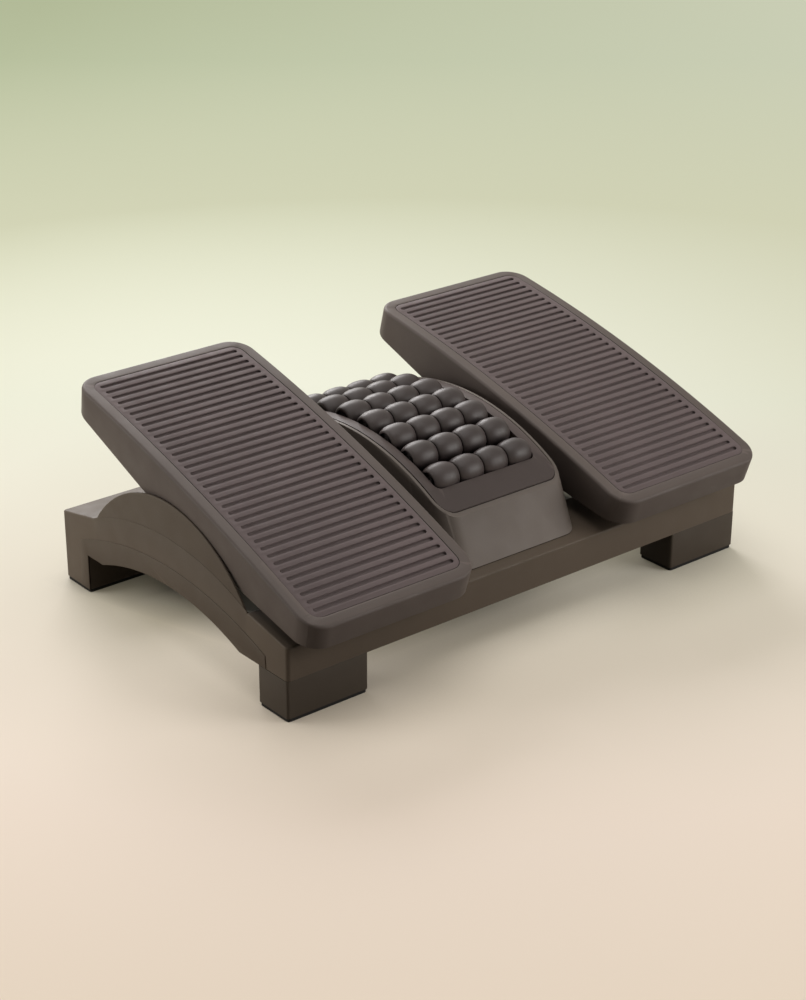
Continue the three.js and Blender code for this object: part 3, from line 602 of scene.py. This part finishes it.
def stage_floor(tones):
    """Pale floor, warm near the camera and green far away.

    The camera, metal and glass see the pale tone. The object is lit by a darker bounce. Shade under
    the object and a contact shadow round it are painted into the floor.
    """
    f = Finish("floor")
    x, y = (f.add("SeparateXYZ", axis, {"Vector": f.place}) for axis in "XY")
    ahead = f.sum(f.product(x, AHEAD_X), f.product(y, AHEAD_Y))
    across = f.sum(f.product(x, AHEAD_Y), f.product(y, -AHEAD_X))
    distant = f.blend(f.span(across, *FAR_TO_SIDE), tones.floor_far, tones.floor_side)
    tone = f.blend(f.span(ahead, *NEAR_TO_MIDDLE), tones.floor_near, tones.floor_middle)
    tone = f.blend(f.span(ahead, *MIDDLE_TO_DISTANT), tone, distant)

    # Painted shade on the floor between the feet
    slant = f.sum(x, f.product(y, SHADE_SLANT))
    under = f.product(
        f.span(slant, *SHADE_LEFT), f.span(slant, *SHADE_RIGHT, 1.0, 0.0),
        f.span(y, *SHADE_FRONT), f.span(y, *SHADE_BACK, 1.0, 0.0),
    )
    unshaded = f.span(under, 0.0, 1.0, 1.0, SHADE_LEAST)

    away = f.add("VectorMath", "Value", {0: f.place}, operation="LENGTH")
    lit = f.product(f.span(away, *LIGHT_REACH, *LIT_SHARE), unshaded)
    # Painted contact shadow: the glow dims where the object hides the floor
    clear = f.open_share(CONTACT_SHADOW_REACH, 0.0, 0.85)
    glow = f.product(f.span(away, *LIGHT_REACH, *GLOW_SHARE), clear, unshaded)

    seen = seen_share(f.tree)
    f.feed("Base Color", f.blend(seen, tones.bounce, f.tinted(tone, LIT_TINT, lit)))
    f.feed("Emission Color", f.blend(seen, (0, 0, 0), f.tinted(tone, GLOW_TINT, glow)))
    f.fix("Emission Strength", 1)
    f.feed("Roughness", f.span(f.noise(3.0), 0.0, 1.0, 0.75, 0.85))
    f.fix("Specular IOR Level", 0.1)
    return f.material


MAKERS = {
    "shell": moulded_plastic, "foot": moulded_plastic, "housing": moulded_plastic,
    "plate": moulded_plastic, "pedal": moulded_plastic, "mat": soft_rubber, "pad": soft_rubber,
    "roller": satin_plastic, "steel": plated_steel, "nylon": natural_nylon,
}


def finish_of(kind):
    """The material of a kind of finish, made when it is first asked for."""
    name = f"footrest_{kind}"
    if name not in bpy.data.materials:
        MAKERS[kind](Finish(name), getattr(bpy.context.scene.footrest_finishes, kind))
    return bpy.data.materials[name]


# Base

# Roundings as multiples of the soft edge, of a step's height and of the upright corner
BAR_ROUNDING, CROWN_ROUNDING, STEP_ROUNDING, FOOT_ROUNDING = 2.4, 1.6, 0.8, 0.7
# How far parts moulded in one run into each other, and how far ribs end above the seam
OVERLAP, RIB_LIFT = 0.0005, 0.0002
# How far the bosses stand out from the side arch and the inner rail, and the rail's height
OUTER_BOSS, INNER_BOSS, RAIL_CREST = 0.0073, 0.0062, 0.078


def bar_top(s, reach):
    """Height of a bar at a distance from the middle line of the base."""
    inner = s.half_depth - s.bar_depth
    share = max(0.0, (reach - inner) / s.bar_depth)
    return s.inner_top + (s.edge_top - s.inner_top) * share


def front_bar(s):
    """The front bar as an upturned trough. The rear bar is its mirror image."""
    side = s.half_width - s.lip_step
    front, back = -s.half_depth, -s.half_depth + s.bar_depth
    bm = block((-side, front, s.seam), (side, back, s.inner_top))
    roof = hollow_out(bm, s.wall, s.inner_top - s.seam - s.wall)
    roof_verts = {v for f in roof for v in f.verts}
    for v in bm.verts:
        if v.co.z > s.seam + s.wall:
            sink = s.wall if v in roof_verts else 0.0
            v.co.z = bar_top(s, abs(v.co.y)) - sink
    face_outwards(bm)
    soften(bm, s.corner, 5, lambda mid, e: (
        upright(e) and abs(mid.x) > side - FLUSH and mid.y < front + FLUSH))
    soften(bm, s.soft_edge * BAR_ROUNDING, 4, lambda mid, e: (
        mid.z > s.edge_top - 0.001 and e.is_convex and any(f.normal.z > 0.7 for f in e.link_faces)))
    return bm


def side_arch(s, sign):
    """One side: the crown, a layer below the faint line and the lip round the opening."""
    inner = s.half_depth - s.bar_depth
    under_rise = s.under_crest - s.seam
    under_radius = (s.under_half ** 2 + under_rise ** 2) / (under_rise * 2)
    opening = arc(s.under_crest - under_radius, under_radius, s.under_half, 40)
    arch_foot = math.sqrt(s.arch_radius ** 2 - (s.inner_top + s.arch_drop) ** 2)
    crown = arc(-s.arch_drop, s.arch_radius, arch_foot, 72)
    bottom = [(-inner, s.seam), *opening, (inner, s.seam)]
    inside = s.half_width - s.panel
    outside = s.half_width - s.lip_step
    panel = [*bottom, (inner, s.inner_top), *reversed(crown), (-inner, s.inner_top)]
    plate = slab(panel, inside, s.panel - s.lip_step - s.crown_step)
    soften(plate, s.soft_edge * CROWN_ROUNDING, 3, lambda mid, e: (
        mid.z > s.inner_top + OVERLAP and mid.x > inside + OVERLAP), 30)
    line = arc(s.crown_crest - s.crown_radius, s.crown_radius, inner, 48)
    middle = slab([*bottom, *reversed(line)], outside - s.wall / 4, s.wall / 4)
    soften(middle, s.crown_step * STEP_ROUNDING, 2, lambda mid, e: (
        mid.z > s.seam + 0.03 and abs(mid.y) < inner - FLUSH and mid.x > outside - FLUSH), 30)
    leg = s.half_depth - s.foot_depth
    lip_edge = arc(s.lip_crest - s.lip_radius, s.lip_radius, s.lip_half, 48)
    rear = [(leg, s.seam), (leg, s.foot_bottom), (s.lip_half + s.wall, s.foot_bottom)]
    front = [(-s.lip_half - s.wall / 4, s.seam)]
    lip = slab(
        [*front, *opening, *rear, *reversed(lip_edge)], outside - s.wall / 4,
        s.lip_step + s.wall / 4,
    )
    soften(lip, s.lip_step * STEP_ROUNDING, 3, lambda mid, e: mid.x > s.half_width - FLUSH, 12)
    end = inner + OVERLAP
    rail = slab([
        (-end, s.rail_foot), (end, s.rail_foot), (end, s.inner_top),
        (s.boss_radius, RAIL_CREST), (-s.boss_radius, RAIL_CREST), (-end, s.inner_top),
    ], s.rail_inner, s.wall)
    soften(rail, s.soft_edge, 2, lambda mid, e: abs(mid.y) < inner)
    boss = lambda low, high: barrel(s.boss_radius, low, high, 0, s.pivot_height, s.soft_edge)
    whole = joined([
        plate, middle, lip, boss(inside - OUTER_BOSS, inside + OVERLAP),
        rail, boss(s.rail_inner + s.wall / 2, s.rail_inner + s.wall + INNER_BOSS),
    ])
    return mirrored(whole, 0) if sign < 0 else whole


def rear_leg(s, sign):
    side = s.half_width - s.lip_step
    near = s.half_width - s.foot_width
    back, front = s.half_depth, s.half_depth - s.foot_depth
    bm = block((near, front, s.foot_bottom), (side, back, s.seam))
    hollow_out(bm, s.wall, s.seam - s.foot_bottom - s.wall)
    face_outwards(bm)
    soften(bm, s.corner, 5, lambda mid, e: (
        upright(e) and mid.x > side - FLUSH and mid.y > back - FLUSH))
    soften(bm, s.soft_edge, 2, lambda mid, e: upright(e) and mid.x < near + FLUSH)
    return mirrored(bm, 0) if sign < 0 else bm


def ribs_under_bar(s):
    """Cross ribs inside the front bar's trough."""
    near, front = s.half_width - s.foot_width, -s.half_depth
    return [
        block(
            (x, front + s.wall / 2, s.seam + RIB_LIFT),
            (x + s.wall, front + s.bar_depth - s.wall / 2, s.edge_top - s.wall / 2),
        )
        for place in (s.rail_inner, (s.rail_inner + near) / 2, near)
        for x in (place, -place - s.wall)
    ]


class FOOTREST_OT_base(Operator):
    """Make the base: two bars, two side arches, rear legs, inner rails and the floor"""

    bl_idname = "footrest.base"
    bl_label = "Base"

    def execute(self, context):
        s = context.scene.footrest_base
        inner = s.half_depth - s.bar_depth
        floor = block(
            (-s.rail_inner - s.wall / 2, -inner - s.wall / 2, s.floor_bottom),
            (s.rail_inner + s.wall / 2, inner + s.wall / 2, s.floor_bottom + s.wall),
        )
        front = [front_bar(s), *ribs_under_bar(s)]
        rear = [mirrored(part, 1) for part in (front_bar(s), *ribs_under_bar(s))]
        sides = [make(s, sign) for make in (side_arch, rear_leg) for sign in (-1, 1)]
        bm = joined([*front, *rear, *sides, floor])
        move(bm, (0, s.middle, 0))
        finish_piece(bm, "base_moulding", "base", "shell_plastic", "shell", "base_frame")
        return {"FINISHED"}


class FOOTREST_OT_feet(Operator):
    """Make the two riser feet under the front corners"""

    bl_idname = "footrest.feet"
    bl_label = "Front feet"

    def execute(self, context):
        s = context.scene.footrest_base
        for name, sign in SIDES:
            low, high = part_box(f"front_foot_{name}")
            bm = block(low, high)
            hollow_out(bm, s.wall, high.z - low.z - s.wall)
            face_outwards(bm)
            soften(bm, s.corner * FOOT_ROUNDING, 4, lambda mid, e: upright(e) and e.is_convex)
            soften(bm, s.soft_edge, 2, lambda mid, e: mid.z > high.z - FLUSH and e.is_convex)
            finish_piece(
                bm, f"riser_foot_{name}", "base", "shell_plastic", "foot", f"front_foot_{name}"
            )
        return {"FINISHED"}


# Housing

# Cuts on either side of the step down from the bars to the floor, and the last even cut
STEP_IN, STEP_OUT, CUT_REACH = 0.0974, 0.0978, 0.1194
# Rounds until a leaning end has found its height
SETTLING = 8


def top_arc(s, y):
    """Height of the housing's arched top at a distance from its middle."""
    return s.crest - s.arc + math.sqrt(s.arc ** 2 - y ** 2)


class FOOTREST_OT_housing(Operator):
    """Make the arched roller housing with its plain leaning ends"""

    bl_idname = "footrest.housing"
    bl_label = "Roller housing"

    def execute(self, context):
        s, base = context.scene.footrest_housing, context.scene.footrest_base
        reach, half = s.foot_reach, s.half_width
        bm = rounded_sheet((-half, -reach), (half, reach), s.corner, 8)
        # Z counts levels until the heights are known: 0 for the lower edge, 1 for the top,
        # 1.1 for the seat of the cover plate and 1.2 for the underside of its ledge
        top = raise_faces(bm, bm.faces[:], (0, 0, 1))
        inset_faces(bm, top, s.rim)
        pocket = raise_faces(bm, top, (0, 0, 0.1))
        inset_faces(bm, pocket, s.ledge)
        well = raise_faces(bm, pocket, (0, 0, 0.1))
        bmesh.ops.delete(bm, geom=well, context="FACES")
        steps = [-STEP_OUT, STEP_OUT, -STEP_IN, STEP_IN]
        slices(bm, sorted(steps + spread(-CUT_REACH, CUT_REACH, 56)))
        straight = reach - s.corner
        for v in bm.verts:
            level, y = v.co.z, v.co.y
            if level < 0.5:
                on_bar = abs(y) > (STEP_IN + STEP_OUT) / 2
                rest = bar_top(base, abs(y)) if on_bar else base.floor_bottom + base.wall
                z = rest + s.gap
            else:
                z, share = top_arc(s, y), min(1.0, abs(y) / straight)
                for _ in range(SETTLING):
                    shift = s.lean * (z - base.edge_top) * share * (1 if y > 0 else -1)
                    z = top_arc(s, y - shift)
                v.co.y = y - shift
                if level > 1.05:
                    z -= s.plate + s.gap
                if level > 1.15:
                    z -= s.ledge
            v.co.z = z
        # Close the inside by a wall down from the ledge, which lies above 90 mm all round
        ledge = [e for e in open_edges(bm) if any(v.co.z > 0.09 for v in e.verts)]
        for v in only(BMVert, extrude_edges(bm, ledge)):
            v.co.z = base.inner_top + s.gap
        bmesh.ops.bridge_loops(bm, edges=open_edges(bm))
        face_outwards(bm)
        above = base.inner_top + 0.01
        soften(bm, RIM_EDGE, 3, lambda mid, e: mid.z > above and e.is_convex, 50)
        move(bm, (0, base.middle, 0))
        finish_piece(bm, "housing_shell", "base", "shell_plastic", "housing", "roller_housing")
        return {"FINISHED"}


class FOOTREST_OT_cover(Operator):
    """Make the cover plate that frames the rollers"""

    bl_idname = "footrest.cover"
    bl_label = "Cover plate"

    def execute(self, context):
        s, base = context.scene.footrest_housing, context.scene.footrest_base
        inset = s.rim + s.gap
        half = s.half_width - inset
        end = s.foot_reach - inset
        for _ in range(SETTLING):
            end = s.foot_reach - inset - s.lean * (top_arc(s, end) - base.edge_top)
        low, high = (-s.opening_half, -s.opening_front), (s.opening_half, s.opening_rear)
        ring = joined([
            rounded_sheet((-half, -end), (half, end), s.corner - inset, 8),
            rounded_sheet(low, high, s.opening_corner, 8),
        ])
        bmesh.ops.delete(ring, geom=ring.faces[:], context="FACES_ONLY")
        bmesh.ops.bridge_loops(ring, edges=ring.edges[:])
        slices(ring, spread(-end, end, 48))
        thicken(ring, (0, 0, -s.plate))
        soften(ring, MOULDED_EDGE, 3, lambda mid, e: mid.z > -SAME)
        for v in ring.verts:
            v.co.z += top_arc(s, v.co.y)
        move(ring, (0, base.middle, 0))
        finish_piece(
            ring, "cover_plate", "base", "pedal_plastic", "plate", "roller_cover_plate"
        )
        return {"FINISHED"}


# Rollers

# Steps along a lobe, how full its bulge is, and the easing at its ends
LOBE_STEPS, LOBE_FULLNESS = 12, 2.7
EASE_LENGTH, EASE_DEPTH = 0.0004, 0.0006


def roller_outline(s):
    """Points (x, radius) of one roller, from the near hollow end round to the far one."""
    end = s.lobes * s.pitch / 2
    points = []
    for lobe in range(s.lobes):
        start = -end + lobe * s.pitch + s.gap / 2
        width = s.pitch - s.gap
        points.append((start, s.end_radius - EASE_DEPTH))
        for i in range(LOBE_STEPS + 1):
            t = i / LOBE_STEPS
            swell = 1 - abs(2 * t - 1) ** LOBE_FULLNESS
            x = start + EASE_LENGTH + (width - 2 * EASE_LENGTH) * t
            points.append((x, s.end_radius + (s.radius - s.end_radius) * swell))
        points.append((start + width, s.end_radius - EASE_DEPTH))
        if lobe + 1 < s.lobes:
            points += [(start + width, s.neck), (start + width + s.gap, s.neck)]
    side = points[-1][0]
    well, hub_end = side - s.recess, side - s.recess / 3
    ends = [(side, s.hollow), (well, s.hollow), (well, s.hub), (hub_end, s.hub), (hub_end, s.bore)]
    return points + ends + [(-x, r) for x, r in reversed(ends)]


class FOOTREST_OT_rollers(Operator):
    """Turn the massage rollers"""

    bl_idname = "footrest.rollers"
    bl_label = "Rollers"

    def execute(self, context):
        s = context.scene.footrest_rollers
        places = {j["child"]: Vector(j["pos_m"]) for j in frame["joints"]}
        for name in sorted(n for n in frame["bodies"] if n.startswith("roller_")):
            place = places[name]
            bm = bmesh.new()
            outline = [(x, place.y, place.z + r) for x, r in roller_outline(s)]
            verts, edges = closed_ring(bm, outline)
            bmesh.ops.spin(
                bm, geom=verts + edges, cent=place, axis=(1, 0, 0), angle=2 * math.pi,
                steps=48, use_merge=True, use_duplicate=False,
            )
            finish_piece(
                bm, f"massage_{name}", name, "roller_plastic", "roller", name, smooth=40
            )
        return {"FINISHED"}


# Pedals

# A pedal is made level and to the right, with its pivot line at the origin
LEVEL_DEPTH = 0.04
SKIRT_WALL = 0.0026
RIB_PLACES = (-0.72, -0.36, 0.0, 0.36, 0.72)
RIB_HALF, RIB_DEPTH, RIB_INSET, RIB_EDGE = 0.0013, 0.009, 0.003, 0.0003
# A pivot lug: its width, the gap to a boss, its round foot and the web above
LUG_WIDTH, LUG_GAP, LUG_RADIUS = 0.005, 0.0020, 0.013
WEB_HALF, WEB_FOOT, WEB_SPREAD = 0.0118, -0.0055, 0.046


def deck_at(s, u):
    """Height of the deck over the pivot, at a distance along the pedal."""
    return s.crest - s.bow + math.sqrt(s.bow ** 2 - u ** 2)


def seat_on_pivot(bm, s, base, sign):
    """Turns a level right hand piece into its place on either side."""
    if sign < 0:
        mirrored(bm, 0)
    tilt = s.tilt_left if sign < 0 else s.tilt_right
    bmesh.ops.rotate(bm, verts=bm.verts, cent=(0, 0, 0), matrix=Matrix.Rotation(tilt, 3, "X"))
    move(bm, (0, base.middle, base.pivot_height))
    return bm


def pedal_tub(s):
    """The pedal shell: a bowed deck with a rim, a recess for the mat and a skirt."""
    bm = rounded_sheet((s.near, -s.front), (s.far, s.rear), s.corner, 10, -LEVEL_DEPTH)
    under = bm.faces[:]
    made = bmesh.ops.extrude_face_region(bm, geom=under, use_keep_orig=True)["geom"]
    top = [f for f in only(BMFace, made) if len(f.verts) > 4]
    move(bm, (0, 0, LEVEL_DEPTH), only(BMVert, made))
    face_outwards(bm)
    inset_faces(bm, top, s.rim)
    raise_faces(bm, top, (0, 0, -s.recess))
    inset_faces(bm, under, SKIRT_WALL)
    raise_faces(bm, under, (0, 0, LEVEL_DEPTH - s.recess - s.deck))
    slices(bm, [*spread(-s.front, s.rear, 40), 0.0])
    middle_x = (s.near + s.far) / 2
    for v in bm.verts:
        u = v.co.y
        if v.co.z < -LEVEL_DEPTH + 0.001:
            v.co.z = s.skirt_middle + s.skirt_rise * abs(u)
        else:
            v.co.z += deck_at(s, u)
        if v.co.x > middle_x:
            share = min(1.0, (v.co.x - middle_x) / (s.far - middle_x))
            v.co.x -= s.lean * (s.crest - v.co.z) * share
    face_outwards(bm)

    def on_top(mid):
        return abs(mid.z - deck_at(s, mid.y)) < 3e-4

    def outer(mid, edge):
        middle = Vector((middle_x, 0, mid.z))
        return on_top(mid) and any(
            abs(f.normal.z) < 0.4 and f.normal.dot(f.calc_center_median() - middle) > 0
            for f in edge.link_faces)

    skirt_top = s.skirt_middle + s.skirt_rise * s.front + 0.001
    soften(bm, s.edge, 6, outer, 50)
    soften(bm, FINE_EDGE, 2, lambda mid, e: on_top(mid) and not outer(mid, e) and e.is_convex, 50)
    soften(bm, MOULDED_EDGE, 2, lambda mid, e: mid.z < skirt_top and e.is_convex, 50)
    return bm


def pedal_underside(s, base):
    """Cross ribs and the two pivot lugs under a deck."""
    parts = []
    half = (s.front + s.rear) / 2
    for share in RIB_PLACES:
        u = half * share
        deck = deck_at(s, u) - s.recess - s.deck / 2
        parts.append(block(
            (s.near + RIB_HALF, u - RIB_HALF, deck - RIB_DEPTH),
            (s.far - RIB_INSET, u + RIB_HALF, deck), RIB_EDGE,
        ))
    outer = base.half_width - base.panel - OUTER_BOSS - LUG_GAP
    inner = base.rail_inner + base.wall + INNER_BOSS + LUG_GAP
    top = deck_at(s, WEB_SPREAD) - s.recess - s.deck / 2
    for low in (outer - LUG_WIDTH, inner):
        high = low + LUG_WIDTH
        web = slab([
            (-WEB_HALF, WEB_FOOT), (WEB_HALF, WEB_FOOT), (WEB_SPREAD, top), (-WEB_SPREAD, top),
        ], low, high - low)
        soften(web, FINE_EDGE, 2)
        parts += [web, barrel(LUG_RADIUS, low, high, 0, 0, FINE_EDGE)]
    return parts


class FOOTREST_OT_pedals(Operator):
    """Make the two rocker pedals"""

    bl_idname = "footrest.pedals"
    bl_label = "Pedals"

    def execute(self, context):
        s, base = context.scene.footrest_pedals, context.scene.footrest_base
        for name, sign in SIDES:
            parts = joined([pedal_tub(s), *pedal_underside(s, base)])
            bm = seat_on_pivot(parts, s, base, sign)
            finish_piece(
                bm, f"rocker_pedal_{name}", f"pedal_{name}", "pedal_plastic", "pedal",
                f"pedal_shell_{name}",
            )
        return {"FINISHED"}


def cut_groove(bm, cell, s, middle_x, u):
    """Cuts one round ended groove into a flat cell of the mat."""

    def end_of(v):
        """1 or -1 for a point at either end of the groove, 0 at its middle."""
        return 0 if abs(v.co.x - middle_x) < SAME else (1 if v.co.x > middle_x else -1)

    rim = cell.edges[:]
    bmesh.ops.delete(bm, geom=[cell], context="FACES_ONLY")
    # From the rounded lip to the floor: how much wider than the groove, and at what height
    levels = [
        (0.00035, 0.0), (0.00018, -0.00004), (0.00006, -0.00015), (0.0, -0.0004),
        (-0.00002, -s.groove_depth + 0.0003), (-0.0003, -s.groove_depth),
    ]
    ring = bmesh.ops.create_circle(
        bm, cap_ends=False, segments=20, radius=s.groove_radius + levels[0][0],
        matrix=Matrix.Translation((middle_x, u, 0)),
    )["verts"]
    reach = s.groove_reach - s.groove_radius
    for v in ring:
        v.co.x += end_of(v) * reach
    edges = list({e for v in ring for e in v.link_edges})
    bmesh.ops.triangle_fill(bm, use_beauty=True, use_dissolve=False, edges=rim + edges)
    for wider, height in levels[1:]:
        made = extrude_edges(bm, edges)
        fresh = only(BMVert, made)
        edges = [e for e in only(BMEdge, made) if all(v in fresh for v in e.verts)]
        for v in fresh:
            centre = Vector((middle_x + end_of(v) * reach, u, 0))
            arm = Vector((v.co.x, v.co.y, 0)) - centre
            v.co = centre + arm.normalized() * (s.groove_radius + wider) + Vector((0, 0, height))
    bmesh.ops.contextual_create(bm, geom=edges)


def grooved_mat(s):
    """A mat that fills its recess but for a gap, cut into one cell for each groove."""
    inset = s.rim + s.gap
    low, high = (s.near + inset, -s.front + inset), (s.far - inset, s.rear - inset)
    bm = rounded_sheet(low, high, s.corner - inset, 8)
    middle_u = (s.rear - s.front) / 2
    middle_x = (s.near + s.far) / 2 + s.groove_shift
    lines = [middle_u + (k - s.grooves / 2) * s.pitch for k in range(s.grooves + 1)]
    slices(bm, lines)
    made = extrude_edges(bm, open_edges(bm))
    move(bm, (0, 0, -s.recess + s.gap), only(BMVert, made))
    bmesh.ops.contextual_create(bm, geom=open_edges(bm))
    slices(bm, lines)
    face_outwards(bm)
    soften(bm, MOULDED_EDGE, 2, lambda mid, e: mid.z > -SAME, 60)
    cells = [f for f in bm.faces if f.normal.z > 0.99]
    for u in ((a + b) / 2 for a, b in zip(lines, lines[1:])):
        cell = min(cells, key=lambda f: abs(f.calc_center_median().y - u) if f.is_valid else 9)
        cells.remove(cell)
        cut_groove(bm, cell, s, middle_x, u)
    for v in bm.verts:
        v.co.z += deck_at(s, v.co.y)
    return bm


class FOOTREST_OT_mats(Operator):
    """Make the two grooved mats"""

    bl_idname = "footrest.mats"
    bl_label = "Mats"

    def execute(self, context):
        s, base = context.scene.footrest_pedals, context.scene.footrest_base
        for name, sign in SIDES:
            bm = seat_on_pivot(grooved_mat(s), s, base, sign)
            finish_piece(
                bm, f"grooved_mat_{name}", f"pedal_{name}", "mat_rubber", "mat",
                f"pedal_mat_{name}", smooth=42,
            )
        return {"FINISHED"}


# Small parts that keep their solid

FITTINGS = {
    "floor_pad": "pad", "outer_friction_ring": "pad", "inner_friction_ring": "pad",
    "axle_rail": "shell", "roller_axle": "steel", "pivot_shaft": "steel", "shaft_clip": "steel",
    "foot_screw": "steel", "rail_screw": "steel", "housing_screw": "steel",
    "outer_bush": "nylon", "inner_bush": "nylon",
}


class FOOTREST_OT_fittings(Operator):
    """Finish the pads, shafts, bushes, rings, rails, axles, clips and screws"""

    bl_idname = "footrest.fittings"
    bl_label = "Fittings"

    def execute(self, context):
        for name, node in frame["nodes"].items():
            kinds = [kind for start, kind in FITTINGS.items() if name.startswith(start)]
            if kinds:
                node.data.materials.clear()
                node.data.materials.append(finish_of(kinds[0]))
        return {"FINISHED"}


# Stage

FLOOR_REACH = 25
AIM = (0, 0, 0.06)
# Each lamp's name, place, size, power in watts and colour
LAMPS = (
    ("top", (0, 0, 1.9), (1.8, 1.8), 16.5, (1.0, 0.98, 0.97)),
    ("left", (-1.3, 0.9, 0.45), (0.8, 0.6), 11.2, (1.0, 0.98, 0.94)),
    ("front", (1.0, -1.3, 0.6), (0.9, 0.9), 14.2, (1.0, 0.98, 0.96)),
    ("back", (0.5, 1.6, 1.0), (1.2, 0.9), 32.4, (1.0, 0.97, 0.97)),
)
WORLD_LIGHT = 0.01
# The camera as fitted to the base: its place from the base's middle, its lens and its turn
CAMERA_PLACE = (-0.98213, -1.194824, 0.760044)
SENSOR, FOCAL_PIXELS, PICTURE_HEIGHT = 36, 2191.567, 1000
YAW, PITCH, ROLL = 39.37513, 24.54631, 0.15447


def soft_light(name, place, size, power, tone):
    """An area lamp that points at the object."""
    data = bpy.data.lights.new(name, "AREA")
    data.shape = "RECTANGLE"
    data.size, data.size_y = size
    data.energy = power
    data.color = tone
    lamp = bpy.data.objects.new(name, data)
    lamp.location = place
    lamp.rotation_euler = (Vector(AIM) - Vector(place)).to_track_quat("-Z", "Y").to_euler()
    bpy.context.scene.collection.objects.link(lamp)


class FOOTREST_OT_stage(Operator):
    """Make the floor, the lights and the camera"""

    bl_idname = "footrest.stage"
    bl_label = "Stage"

    def execute(self, context):
        tones = context.scene.footrest_finishes
        bm = rounded_sheet((-FLOOR_REACH, -FLOOR_REACH), (FLOOR_REACH, FLOOR_REACH), 0, 1)
        floor = object_of(bm, "floor", stage_floor(tones))

        for lamp in LAMPS:
            soft_light(*lamp)
        world = bpy.data.worlds.new("studio")
        world.use_nodes = True
        tree = world.node_tree
        sky = tree.nodes["Background"].inputs
        share = {"Value": seen_share(tree), "To Min": WORLD_LIGHT}
        tree.links.new(add_node(tree, "MapRange", "Result", share), sky["Strength"])
        sky["Color"].default_value = (*tones.backdrop, 1)
        context.scene.world = world

        data = bpy.data.cameras.new("camera")
        data.sensor_width = SENSOR
        data.lens = SENSOR * FOCAL_PIXELS / PICTURE_HEIGHT
        data.clip_start, data.clip_end = 0.05, 50
        camera = bpy.data.objects.new("camera", data)
        camera.location = CAMERA_PLACE
        camera.location.y += context.scene.footrest_base.middle
        yaw, pitch, roll = (math.radians(a) for a in (YAW, PITCH, ROLL))
        camera.rotation_euler = (
            Matrix.Rotation(-yaw, 3, "Z")
            @ Matrix.Rotation(math.pi / 2 - pitch, 3, "X")
            @ Matrix.Rotation(roll, 3, "Z")
        ).to_euler()
        context.scene.collection.objects.link(camera)
        context.scene.camera = camera
        context.scene.view_settings.view_transform = "Standard"
        return {"FINISHED"}


# Panel and start

GROUPS = {
    "footrest_base": FootrestBaseSizes,
    "footrest_pedals": FootrestPedalSizes,
    "footrest_housing": FootrestHousingSizes,
    "footrest_rollers": FootrestRollerSizes,
    "footrest_finishes": FootrestFinishes,
}

# In the order in which they run
OPERATORS = (
    FOOTREST_OT_stage, FOOTREST_OT_base, FOOTREST_OT_feet, FOOTREST_OT_housing, FOOTREST_OT_cover,
    FOOTREST_OT_rollers, FOOTREST_OT_pedals, FOOTREST_OT_mats, FOOTREST_OT_fittings,
)


class FOOTREST_PT_panel(Panel):
    """Lists the pieces of the footrest and their sizes"""

    bl_idname = "FOOTREST_PT_panel"
    bl_label = "Footrest"
    bl_space_type = "VIEW_3D"
    bl_region_type = "UI"
    bl_category = "Footrest"

    def draw(self, context):
        for operator in OPERATORS:
            self.layout.operator(operator.bl_idname)
        for key, group in GROUPS.items():
            box = self.layout.box()
            for name in group.__annotations__:
                box.prop(getattr(context.scene, key), name)


CLASSES = (*GROUPS.values(), *OPERATORS, FOOTREST_PT_panel)


def register():
    for cls in CLASSES:
        bpy.utils.register_class(cls)
    for key, group in GROUPS.items():
        setattr(bpy.types.Scene, key, PointerProperty(type=group))


def unregister():
    for key in GROUPS:
        delattr(bpy.types.Scene, key)
    for cls in reversed(CLASSES):
        bpy.utils.unregister_class(cls)


def main():
    register()
    for operator in OPERATORS:
        step = operator.bl_idname.split(".")[1]
        getattr(bpy.ops.footrest, step)()


if __name__ == "__main__":
    main()
